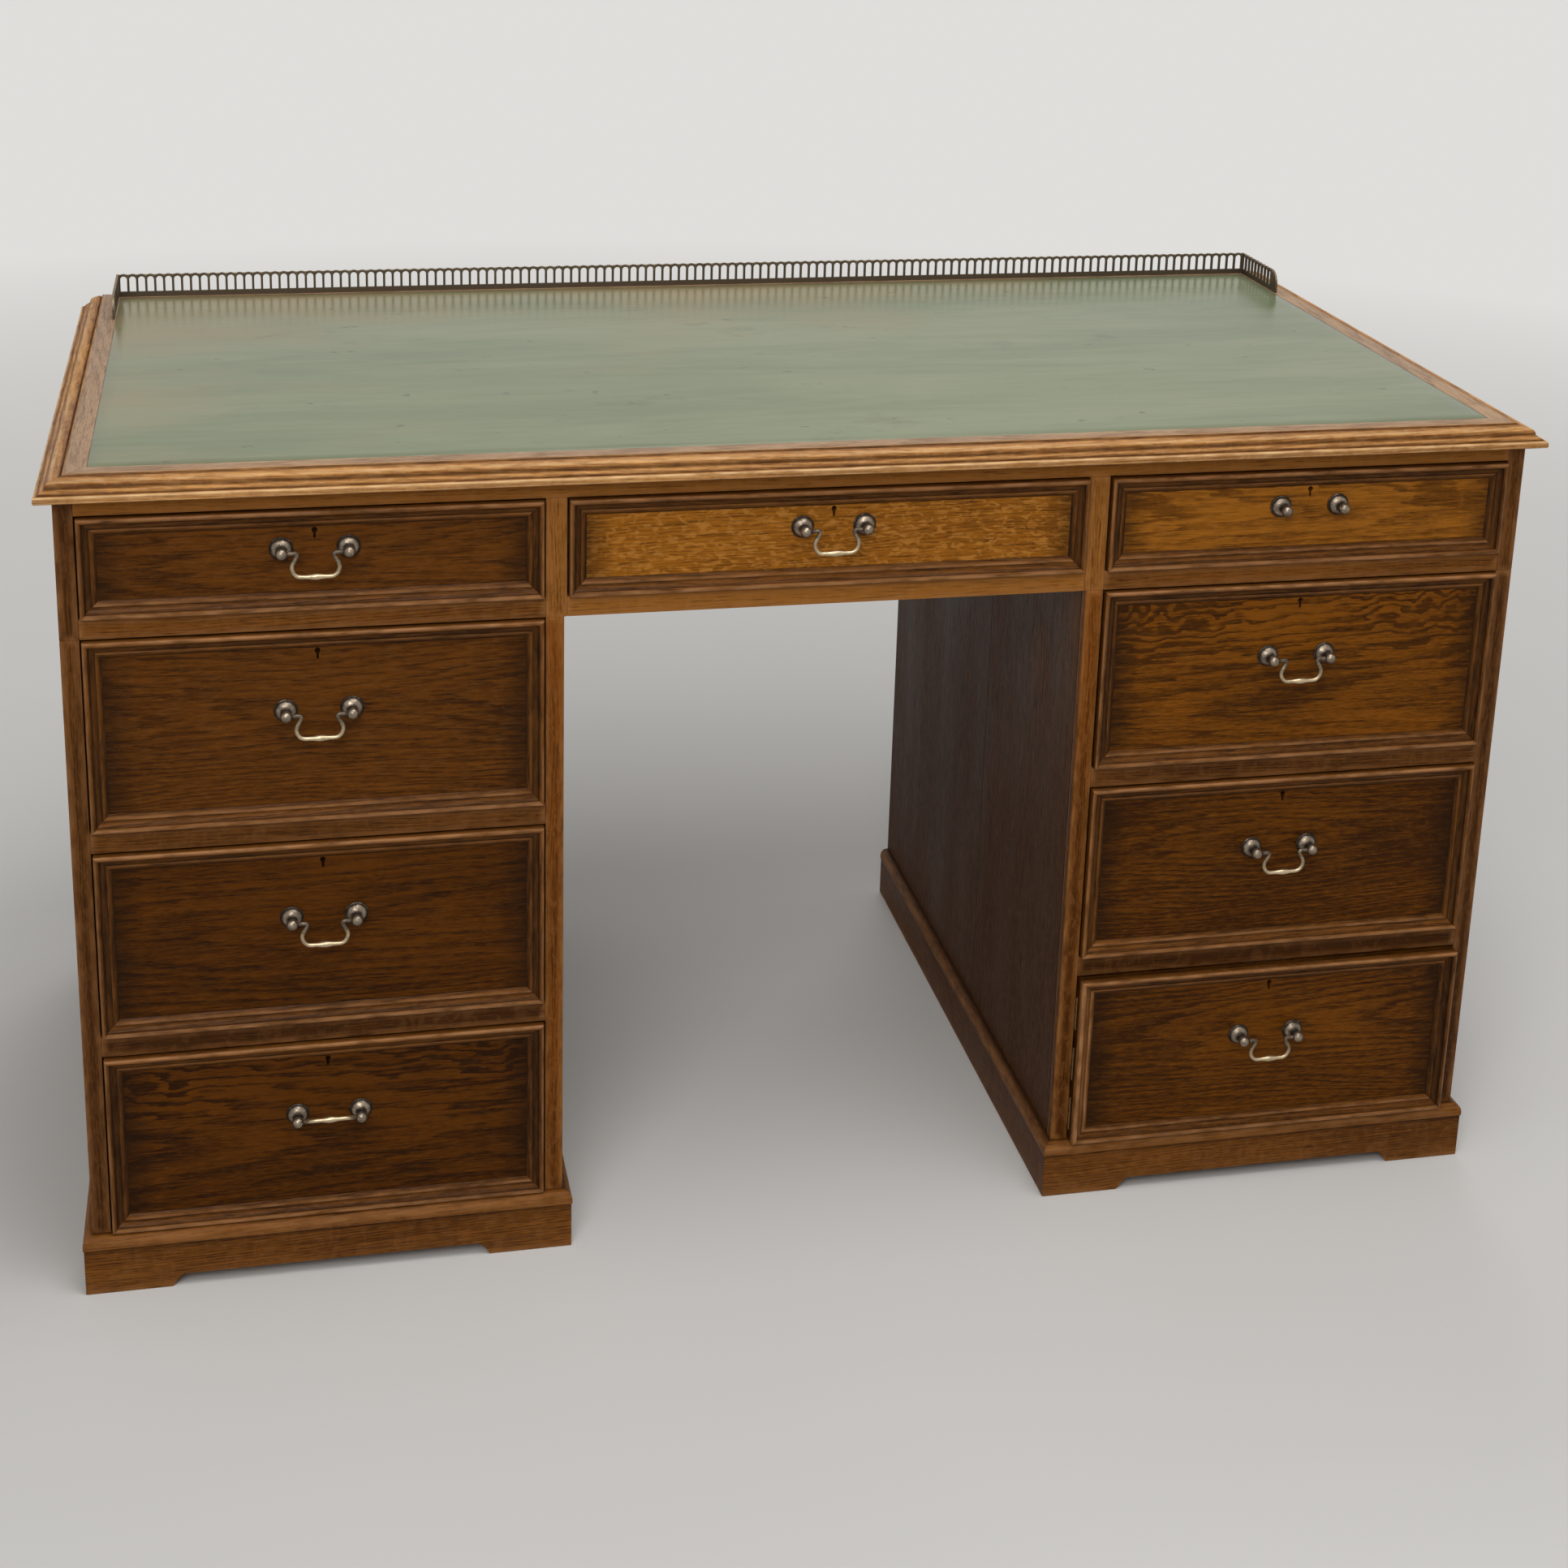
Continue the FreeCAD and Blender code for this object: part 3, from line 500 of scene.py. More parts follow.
def add_piece(name, surfaces, finish, nodes=(), body=CARCASE, sharp=35.0):
    """One mesh object from a list of surfaces, riding on a body and standing for the nodes."""
    counts = np.cumsum([0] + [len(s.points) for s in surfaces])
    loops = np.concatenate([(face + shift).ravel()
                            for s, shift in zip(surfaces, counts) for face in s.faces])
    sizes = np.concatenate([np.full(len(face), face.shape[1]) for s in surfaces for face in s.faces])
    mesh = bpy.data.meshes.new(name)
    mesh.vertices.add(counts[-1])
    mesh.vertices.foreach_set("co", np.concatenate([s.points for s in surfaces]).ravel())
    mesh.loops.add(len(loops))
    mesh.loops.foreach_set("vertex_index", loops.astype(np.int32))
    mesh.polygons.add(len(sizes))
    mesh.polygons.foreach_set("loop_start", (np.cumsum(sizes) - sizes).astype(np.int32))
    mesh.polygons.foreach_set("use_smooth", np.ones(len(sizes), bool))
    mesh.update(calc_edges=True)
    for label, kind, field, values in (
        ("grain", "FLOAT_VECTOR", "vector", [s.grain for s in surfaces]),
        ("wear", "FLOAT", "value", [s.wear for s in surfaces]),
        ("tone", "FLOAT", "value", [s.tone for s in surfaces]),
        ("figure", "FLOAT", "value", [s.figure for s in surfaces]),
    ):
        mesh.attributes.new(label, kind, "POINT").data.foreach_set(field, np.concatenate(values).ravel())
    if mesh.validate():
        raise RuntimeError(f"{name} has faulty faces")
    mesh.set_sharp_from_angle(angle=math.radians(sharp))
    piece = bpy.data.objects.new(name, mesh)
    bpy.context.scene.collection.objects.link(piece)
    mesh.materials.append(finish)
    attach(piece, body)
    if nodes:
        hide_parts(*nodes)


def corners(node):
    """The lowest and highest corner of a node, as arrays in metres."""
    low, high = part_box(node)
    return np.array(low), np.array(high)


def body_of_drawer(name):
    """The body that a drawer's pieces ride on."""
    return f"{name}_drawer" if name in FRIEZE else name


# Finishes

class Wire:
    """An output of a node. Sums and products of wires are nodes too."""

    def __init__(self, nodes, socket):
        self.nodes, self.socket = nodes, socket

    def __add__(self, other):
        return self.nodes.math("ADD", self, other)

    def __sub__(self, other):
        return self.nodes.math("SUBTRACT", self, other)

    def __mul__(self, other):
        return self.nodes.math("MULTIPLY", self, other)


class Nodes:
    """The nodes of one material or of the world."""

    def __init__(self, owner):
        self.owner = owner
        owner.use_nodes = True
        self.tree = owner.node_tree
        self.tree.nodes.clear()

    def node(self, kind, inputs=None, **settings):
        """A new node with its settings, and with a wire or a value at each of the inputs."""
        made = self.tree.nodes.new(kind)
        for key, value in settings.items():
            setattr(made, key, value)
        for key, value in (inputs or {}).items():
            if isinstance(value, Wire):
                self.tree.links.new(value.socket, made.inputs[key])
            else:
                made.inputs[key].default_value = value
        return made

    def wire(self, kind, inputs=None, output=0, **settings):
        """One output of a new node."""
        return Wire(self, self.node(kind, inputs, **settings).outputs[output])

    def attribute(self, name, output="Fac"):
        """What a surface says about itself at each point."""
        return self.wire("ShaderNodeAttribute", output=output, attribute_name=name)

    def place(self):
        """Where a point lies, in metres."""
        return self.wire("ShaderNodeTexCoord", output="Object")

    def split(self, vector):
        """The three numbers of a vector."""
        return [Wire(self, socket) for socket in self.node("ShaderNodeSeparateXYZ", {0: vector}).outputs]

    def seen(self):
        """1 for what the camera sees, also in a mirror or through glass, and 0 for light on its way."""
        rays = self.node("ShaderNodeLightPath").outputs
        camera, glossy, through = (Wire(self, rays[f"Is {word} Ray"])
                                   for word in ("Camera", "Glossy", "Transmission"))
        return self.math("MAXIMUM", camera, self.math("MAXIMUM", glossy, through))

    def math(self, operation, a, b=0.0, clamp=False):
        """One step of arithmetic with two numbers."""
        return self.wire("ShaderNodeMath", {0: a, 1: b}, operation=operation, use_clamp=clamp)

    def noise(self, place, scales=None, detail=2.0, roughness=0.5, distortion=0.0):
        """Soft noise from 0 to 1. The scales are waves to the metre in each direction."""
        if scales:
            place = self.wire("ShaderNodeVectorMath", {0: place, 1: scales}, operation="MULTIPLY")
        inputs = {"Vector": place, "Scale": 1.0, "Detail": detail, "Roughness": roughness,
                  "Distortion": distortion}
        return self.wire("ShaderNodeTexNoise", inputs, "Fac")

    def between(self, value, low, high, to_low=0.0, to_high=1.0):
        """The value's place from low to high, as a number from to_low to to_high."""
        inputs = {"Value": value, "From Min": low, "From Max": high, "To Min": to_low, "To Max": to_high}
        return self.wire("ShaderNodeMapRange", inputs, clamp=True)

    def choose(self, share, a, b):
        """The number a, or b where the share is 1."""
        return self.wire("ShaderNodeMix", {0: share, 2: a, 3: b}, data_type="FLOAT")

    def mix(self, share, a, b):
        """The colour a with a share of the colour b."""
        a, b = (each if isinstance(each, Wire) else (*each, 1.0) for each in (a, b))
        return self.wire("ShaderNodeMix", {0: share, 6: a, 7: b}, 2, data_type="RGBA", blend_type="MIX")

    def close(self, colour, roughness, height, depth, **fixed):
        """The shader, its bump and the output. The fixed numbers are set on the shader's own sockets."""
        bump = self.wire("ShaderNodeBump", {"Height": height, "Strength": 1.0, "Distance": depth})
        inputs = {"Base Color": colour, "Roughness": roughness, "Normal": bump}
        inputs.update({key.replace("_", " "): value for key, value in fixed.items()})
        shader = self.wire("ShaderNodeBsdfPrincipled", inputs)
        self.node("ShaderNodeOutputMaterial", {"Surface": shader})
        return self.owner


def grain_by_face(f):
    """For carried-over nodes: along, across and through the grain from the way each face looks.

    Faces that look sideways have their grain front to back, and the others have it from side to side.
    """
    x, y, z = f.split(f.place())
    facing = f.split(f.wire("ShaderNodeNewGeometry", output="True Normal"))
    sideways, level = (f.math("GREATER_THAN", f.math("ABSOLUTE", facing[axis]), 0.7) for axis in (0, 2))
    along = f.choose(sideways, x, y)
    across = f.choose(level, z, y)
    through = f.choose(level, f.choose(sideways, y, x), z)
    ways = zip((along, across, through), OFF_HEART)
    return f.wire("ShaderNodeCombineXYZ", {i: way + shift for i, (way, shift) in enumerate(ways)})


def oak(name, light, dark, rubbed, grime, fleck=0.1, pore=0.7, gloss=0.42, sheen=0.06, rings=330,
        by_face=False):
    """Waxed oak.

    The rings are cylinders about a heart that leans a little from the grain, with wandering noise. Pores
    are short dark threads that gather where a ring begins. Rays are pale flecks that lie across the grain.
    Wear lightens the crests and darkens the corners, and on the mouldings and the top edge it also carries
    painted light on faces that look up and painted shade in the coves. A figure makes the rings wander more
    and stand out.
    """
    f = Nodes(bpy.data.materials.new(name))
    if by_face:
        grain, wear, tone, figure = grain_by_face(f), 0, 0, 0
    else:
        grain = f.attribute("grain", "Vector")
        wear, tone, figure = (f.attribute(word) for word in ("wear", "tone", "figure"))
    along, across, through = f.split(grain)
    wander = (f.noise(grain, (2.2, 14, 14), 3) - 0.5) * 0.05
    zigzag = (f.noise(grain, (30, 24, 24), 2) - 0.5) * 0.045 * figure
    side = across + (wander + zigzag)
    lean = through + f.math("PINGPONG", along, 1.1) * 0.035
    from_heart = f.math("SQRT", side * side + lean * lean)
    ripple = f.noise(grain, (11, 190, 190), 3)
    year = f.math("FRACT", from_heart * rings + ripple * 1.6)
    early = f.between(year, 0, 0.1) * f.between(year, 0.1, 0.62, 1, 0)
    fibre = f.noise(grain, (9, 300, 300), 5, 0.68)
    dash = f.noise(grain, (85, 640, 640), 3, 0.6)
    thread = f.noise(grain, (34, 900, 900), 2, 0.6)
    pores = f.between(thread, 0.53, 0.68) * (early * 0.6 + 0.4)
    slant = f.wire("ShaderNodeMapping", {"Vector": grain, "Rotation": (0, 0, math.radians(32)),
                                         "Scale": (95, 230, 60)})
    rays = f.between(f.noise(slant, detail=2.5, distortion=0.9), 0.5, 0.62)
    patch = f.noise(grain, (4, 13, 13), 3)

    body = fibre * 0.33 + patch * 0.27 + dash * 0.4 - early * (figure * 0.3 + 0.1) + tone * 0.14
    colour = f.mix(f.between(body, 0.37, 0.58), dark, light)
    colour = f.mix(rays * fleck, colour, rubbed)
    colour = f.mix(pores * pore, colour, grime)
    broken = f.noise(grain, (40, 130, 130), 3)
    # On the mouldings and the top edge the wear also carries painted light, shown in the rubbed colour, and
    # painted shade, shown in the grime colour
    worn = f.between(wear, 0, 1) * f.between(broken, 0.3, 0.62, 0.15, 0.85)
    soiled_and_shaded = f.between(wear, 0, -1) * f.between(broken, 0.25, 0.7, 0.95, 0.5)
    colour = f.mix(worn, colour, rubbed)
    colour = f.mix(soiled_and_shaded, colour, grime)
    rough = pores * 0.22 + f.between(patch, 0.3, 0.7, gloss - 0.07, gloss + 0.09)
    height = fibre * 0.35 - (pores + early * 0.2)
    return f.close(colour, rough, height, 0.00022, Specular_IOR_Level=sheen)


def brass(name, bright, dull, shine, polish):
    """Old brass: brown tarnish in patches and in the corners, bright where hands rub it."""
    f = Nodes(bpy.data.materials.new(name))
    place = f.place()
    cloud = f.noise(place, (170, 170, 170), 4, 0.6)
    speck = f.noise(place, (900, 900, 900))
    worn = f.between(f.attribute("wear"), -0.2, 1, -0.25, polish)
    rubbed = worn + f.between(cloud, 0.35, 0.7, -0.2, 0.35)
    rubbed = f.math("ADD", rubbed, f.between(speck, 0.4, 0.7, 0.08, -0.2), clamp=True)
    colour = f.mix(rubbed, dull, bright)
    rough = f.between(rubbed, 0, 1, 0.52, shine) + f.between(speck, 0.3, 0.7, -0.05, 0.1)
    return f.close(colour, rough, cloud + speck * 0.4, 0.00006, Metallic=0.9)


def leather_finish(name, green, pale, tan, dark):
    """Dressed hide: a fine pebble of small cells, patches drawn out sideways, tan wear and dark marks."""
    f = Nodes(bpy.data.materials.new(name))
    place = f.place()
    x, y = f.split(place)[:2]
    streak = f.noise(place, (2.4, 12, 1), 5, 0.6, 0.5)
    cloud = f.noise(place, (2.6, 4.2, 1), 4, 0.55)
    line = f.noise(place, (14, 110, 1), 3)
    colour = f.mix(f.between(streak * 0.78 + line * 0.22, 0.37, 0.63), green, pale)
    rubbed = (cloud - 0.5) * 2.3 + (x * -0.55 + y * 1.25)
    colour = f.mix(f.between(rubbed, 0.1, 0.85, 0, 0.85), colour, tan)
    blot = f.noise(place, (9, 12, 1), 5, 0.7)
    colour = f.mix(f.between(blot, 0.62, 0.75, 0, 0.4), colour, dark)
    fleck = f.noise(place, (46, 60, 1))
    colour = f.mix(f.between(fleck, 0.7, 0.78, 0, 0.6), colour, dark)
    colour = f.mix(f.between(f.attribute("wear"), 0, 1) * 0.22, colour, dark)
    cells = f.wire("ShaderNodeTexVoronoi", {"Vector": place, "Scale": 950}, "Distance",
                   feature="DISTANCE_TO_EDGE")
    crease = f.noise(place, (260, 320, 260), 3)
    height = f.between(cells, 0, 0.2) + crease * 0.7
    rough = f.between(cloud, 0.3, 0.7, 0.11, 0.19) + f.between(streak, 0.3, 0.7, 0, 0.05)
    return f.close(colour, rough, height, 0.000012, Specular_IOR_Level=0.12)


def iron(name, bare, rust):
    """Dull iron with brown specks."""
    f = Nodes(bpy.data.materials.new(name))
    speck = f.noise(f.place(), (420, 420, 420), 4)
    colour = f.mix(f.between(speck, 0.45, 0.65), bare, rust)
    return f.close(colour, f.between(speck, 0.3, 0.7, 0.45, 0.7), speck, 0.0002, Metallic=0.7)


def pale_floor(name):
    """A matt floor that takes shadows, and that goes over into one pale tone away from the desk."""
    f = Nodes(bpy.data.materials.new(name))
    place = f.place()
    soft = f.noise(place, (0.7, 0.7, 0.7), 3)
    tint = f.mix(f.between(soft, 0.3, 0.7), (0.66, 0.65, 0.63), (0.70, 0.69, 0.67))
    shaded = f.wire("ShaderNodeBsdfDiffuse", {"Color": tint})
    pale = f.wire("ShaderNodeEmission", {"Color": (0.74, 0.73, 0.71, 1)})
    away = f.wire("ShaderNodeVectorMath", {0: place}, "Value", operation="LENGTH")
    far = f.between(away, 0.9, 4.2) * f.seen()
    both = f.wire("ShaderNodeMixShader", {0: far, 1: shaded, 2: pale})
    f.node("ShaderNodeOutputMaterial", {"Surface": both})
    return f.owner


# Settings

def length(name, default, text):
    """A size in metres that can be set in the panel."""
    return bpy.props.FloatProperty(name=name, description=text, default=default, min=0.0, precision=4,
                                   unit="LENGTH")


def colour(name, default, text):
    """A colour that can be set in the panel."""
    return bpy.props.FloatVectorProperty(name=name, description=text, default=default, size=3,
                                         min=0.0, max=1.0, subtype="COLOR")


class DeskSizes(bpy.types.PropertyGroup):
    """Sizes of the woodwork that a maker would change."""
    arris: length("Arris", 0.0009, "Radius of the rounded edges of the boards")
    edge_width: length("Top edge", 0.024, "Width of the moulding round the top")
    border: length("Border", 0.018, "Width of the wood between the edge moulding and the leather")
    back_border: length("Back border", 0.016, "Width of the wood behind the leather")
    border_depth: length("Border depth", 0.005, "Thickness of the wood round the leather")
    leather_arris: length("Leather arris", 0.0005, "Radius of the rounded edge of the leather")
    leather_rim: length("Leather rim", 0.014, "Width of the darker rim of the leather")
    top_rail: length("Top rail", 0.016, "Height of the rail over the frieze drawers")
    bottom_rail: length("Bottom rail", 0.0185, "Height of the rails under the frieze drawers")
    drawer_rail: length("Drawer rail", 0.020, "Height of the rails between the pedestal drawers")
    rail_depth: length("Rail depth", 0.045, "Depth of every front rail")
    back_joint: length("Back joint", 0.07, "Height of the lower board of the frieze back")
    lipping: length("Lipping", 0.012, "Depth of the strip on the front edge of a side")
    board: length("Side board", 0.0165, "Thickness of the ends and the pedestal sides")
    divider: length("Divider", 0.019, "Thickness of the boards between the frieze drawers")
    plinth: length("Plinth", 0.020, "Thickness of the plinth boards")
    foot: length("Foot", 0.078, "Length of a bracket foot along the plinth front")
    relief: length("Relief", 0.012, "Height of the plinth front between its feet")
    moulding: length("Drawer moulding", 0.0155, "Width of the moulding on a drawer front")
    moulding_rise: length("Moulding rise", 0.008, "Height of the moulding on a drawer front")
    panel: length("Panel", 0.016, "Thickness of a drawer front behind its moulding")


class DeskFittings(bpy.types.PropertyGroup):
    """Sizes of the gallery, the handles and the locks."""
    pitch: length("Gallery pitch", 0.0094, "Distance from one gallery opening to the next")
    upright: length("Gallery upright", 0.0024, "Width between two openings")
    base: length("Gallery base", 0.0056, "Height of the plain strip under the openings")
    rim: length("Gallery rim", 0.0022, "Height of the strip over the openings")
    strip: length("Gallery strip", 0.0022, "Thickness of the gallery")
    foot: length("Gallery foot", 0.012, "Least length of the plain end of the gallery")
    centres: length("Handle centres", 0.057, "Distance between the posts of a handle")
    frieze_rise: length("Frieze handle rise", 0.010,
                        "Height of a handle over the middle of a frieze drawer")
    pedestal_rise: length("Pedestal handle rise", 0.015,
                          "Height of a handle over the middle of a pedestal drawer")
    pin_reach: length("Pin reach", 0.015, "Distance from a drawer panel to the pins of its bail")
    lock_width: length("Lock width", 0.05, "Width of a lock case")
    lock_height: length("Lock height", 0.034, "Height of a lock case")
    lock_depth: length("Lock depth", 0.008, "Depth to which a lock case is let in")
    lock_arris: length("Lock arris", 0.0006, "Radius of the rounded edges of a lock case")


class DeskColours(bpy.types.PropertyGroup):
    """Colours of the finishes."""
    case_light: colour("Case light", (0.165, 0.06, 0.0105), "Pale wood of the carcase")
    case_dark: colour("Case dark", (0.058, 0.0195, 0.0036), "Dark wood of the carcase")
    top_light: colour("Top light", (0.53, 0.25, 0.074), "Pale wood of the top")
    top_dark: colour("Top dark", (0.23, 0.088, 0.02), "Dark wood of the top")
    brown_light: colour("Brown light", (0.14, 0.0445, 0.0045), "Pale wood of the darker fronts")
    brown_dark: colour("Brown dark", (0.047, 0.0143, 0.0015), "Dark wood of the darker fronts")
    gold_light: colour("Gold light", (0.345, 0.122, 0.0105), "Pale wood of the golden fronts")
    gold_dark: colour("Gold dark", (0.15, 0.05, 0.0045), "Dark wood of the golden fronts")
    rubbed: colour("Rubbed", (0.42, 0.2, 0.082), "Mouldings where the polish is rubbed through")
    grime: colour("Grime", (0.012, 0.0055, 0.0022), "Old polish in the corners")
    lining: colour("Lining", (0.40, 0.25, 0.12), "Bare wood inside the drawers")
    leather: colour("Leather", (0.142, 0.172, 0.094), "Dressing of the leather")
    leather_pale: colour("Leather pale", (0.2, 0.222, 0.13), "Leather in its paler streaks")
    leather_tan: colour("Leather tan", (0.26, 0.195, 0.094), "Leather where its dressing is worn away")
    brass_bright: colour("Brass bright", (0.56, 0.44, 0.28), "Bails where they are rubbed")
    brass_dull: colour("Brass dull", (0.105, 0.08, 0.058), "Bails where they are tarnished")


GROUPS = {"desk_sizes": DeskSizes, "desk_fittings": DeskFittings, "desk_colours": DeskColours}
FINISHES = {}


def finish_set(context):
    """Makes each finish once. An oak has a light, a dark, a rubbed and a soiled colour."""
    if FINISHES:
        return FINISHES
    c = context.scene.desk_colours
    FINISHES.update({
        "case": oak("waxed_case_oak", c.case_light, c.case_dark, (0.25, 0.105, 0.034), c.grime, fleck=0.16),
        "top": oak("polished_top_oak", c.top_light, c.top_dark, (0.8, 0.53, 0.27), (0.055, 0.02, 0.007),
                   pore=0.45),
        # The border's pale greyish colours are partly the wood and partly a painted reflection of a bright
        # wall in its polish
        "border": oak("border_oak_with_painted_reflection", (0.39, 0.24, 0.13), (0.21, 0.115, 0.057), (0.55, 0.39, 0.25),
                      (0.06, 0.025, 0.01), pore=0.45, sheen=0.16),
        "moulding": oak("moulding_oak", (0.16, 0.056, 0.0085), (0.058, 0.019, 0.003), c.rubbed, c.grime,
                        fleck=0.05, pore=0.5, sheen=0.07, gloss=0.3),
        "stile": oak("golden_stile_oak", (0.31, 0.117, 0.019), (0.135, 0.047, 0.0076), (0.36, 0.15, 0.04),
                     c.grime, fleck=0.3),
        "amber": oak("amber_stile_oak", (0.215, 0.063, 0.0052), (0.08, 0.0235, 0.0024), (0.3, 0.12, 0.03),
                     c.grime, fleck=0.25),
        "rail": oak("reddish_rail_oak", (0.215, 0.076, 0.0115), (0.084, 0.0275, 0.0045), (0.3, 0.13, 0.042),
                    c.grime, fleck=0.14),
        "brown": oak("brown_front_oak", c.brown_light, c.brown_dark, (0.2, 0.088, 0.024), c.grime,
                     fleck=0.12),
        "gold": oak("golden_front_oak", c.gold_light, c.gold_dark, (0.42, 0.18, 0.04), c.grime,
                    fleck=0.12, rings=210.0),
        "tiger": oak("figured_front_oak", c.gold_light, c.gold_dark, (0.48, 0.2, 0.035), c.grime,
                     fleck=0.7, pore=0.6),
        "umber": oak("umber_front_oak", (0.172, 0.053, 0.0026), (0.046, 0.0135, 0.0009), (0.25, 0.1, 0.018),
                     c.grime),
        "deep": oak("deep_front_oak", (0.112, 0.033, 0.0017), (0.031, 0.009, 0.0007), (0.17, 0.07, 0.015),
                    c.grime, rings=190.0),
        "wavy": oak("wavy_front_oak", (0.225, 0.071, 0.004), (0.07, 0.0215, 0.0014), (0.27, 0.112, 0.02),
                    c.grime, rings=170.0),
        "lining": oak("drawer_lining_oak", c.lining, (0.26, 0.15, 0.066), (0.46, 0.31, 0.17),
                      (0.1, 0.055, 0.022), pore=0.35, gloss=0.62, by_face=True),
        "plain": oak("unpolished_oak", (0.27, 0.155, 0.072), (0.16, 0.085, 0.036), (0.3, 0.19, 0.1),
                     (0.05, 0.027, 0.012), pore=0.45, gloss=0.66, by_face=True),
        "back": oak("back_board_oak", (0.15, 0.066, 0.023), (0.075, 0.031, 0.0105), (0.23, 0.12, 0.052),
                    c.grime, gloss=0.55),
        "gallery": brass("gallery_brass_finish", (0.36, 0.27, 0.17), (0.1, 0.075, 0.05), 0.34, 0.35),
        "post": brass("post_brass_finish", (0.37, 0.295, 0.22), (0.04, 0.029, 0.021), 0.2, 0.58),
        "bail": brass("bail_brass_finish", c.brass_bright, c.brass_dull, 0.32, 0.95),
        "leather": leather_finish("worn_green_leather", c.leather, c.leather_pale, c.leather_tan,
                                  (0.075, 0.062, 0.042)),
        "iron": iron("lock_iron", (0.2, 0.19, 0.18), (0.09, 0.05, 0.03)),
    })
    return FINISHES


# Operators

class DESK_OT_top(bpy.types.Operator):
    """Border strips, the ground under the leather and the moulded edge"""
    bl_idname = "desk.top"
    bl_label = "Top"

    def execute(self, context):
        s = context.scene.desk_sizes
        finish = finish_set(context)
        low, high = corners("top_edge_moulding")
        edge = three_sides("edge", TOP_EDGE, low, high, s.edge_width, high[2] - low[2])
        add_piece("top_edge_lengths", edge, finish["top"], ["top_edge_moulding"])

        low = low + s.edge_width * (RIGHT + BACK)
        high = high - s.edge_width * RIGHT
        level = high[2] - s.border_depth
        border = three_sides("border", BORDER, np.array((*low[:2], level)), high, s.border, s.border_depth)
        border += [
            moulded_length("border back", BORDER, (low[0] + s.border, high[1], level),
                           (high[0] - s.border, high[1], level), -BACK, UP, s.back_border,
                           s.border_depth, (0, 0)),
            eased_board("top ground", low, (*high[:2], level - HAIR), SIDEWAYS, s.arris),
        ]
        add_piece("top_border_and_ground", border, finish["border"], ["top_panel"])
        return {"FINISHED"}


class DESK_OT_leather(bpy.types.Operator):
    """The leather skin, sunk level with its border"""
    bl_idname = "desk.leather"
    bl_label = "Leather"

    def execute(self, context):
        s = context.scene.desk_sizes
        low, high = corners("leather_inset")
        skin = eased_board("leather", low, high - 2 * HAIR * UP, SIDEWAYS, s.leather_arris, s.leather_rim)
        finish = finish_set(context)["leather"]
        add_piece("leather_skin", [skin], finish, ["leather_inset"])
        return {"FINISHED"}


class DESK_OT_gallery(bpy.types.Operator):
    """Three pierced strips on the back of the top"""
    bl_idname = "desk.gallery"
    bl_label = "Gallery"

    def execute(self, context):
        s = context.scene.desk_fittings
        low, high = corners("gallery")
        tall, width = high[2] - low[2], high[0] - low[0]
        shape = (s.pitch, s.upright, s.base, tall - s.rim, tall, s.strip)
        plain_top = 4 * HAIR
        front = high[1] - s.strip
        count = int(width / s.pitch)
        spare = (width - count * s.pitch) / 2
        runs = [gallery_cells(np.array((low[0] + spare, front, low[2])), RIGHT, count, *shape)]
        for left, right in ((low[0], low[0] + spare), (high[0] - spare, high[0])):
            top = (right, high[1], high[2] - plain_top)
            runs.append(eased_board("gallery end", (left, front, low[2]), top, UPRIGHT, 3 * HAIR))
        reach = front - low[1]
        side_count = int((reach - s.foot) / s.pitch)
        pierced = side_count * s.pitch
        for left in (low[0], high[0] - s.strip):
            start = np.array((left, front, low[2]))
            end = start - pierced * BACK
            runs.append(gallery_cells(start, -BACK, side_count, *shape))
            runs.append(gallery_foot(end, -BACK, reach - pierced, tall - plain_top, s.strip))
        add_piece("pierced_gallery", runs, finish_set(context)["gallery"], ["gallery"])
        return {"FINISHED"}


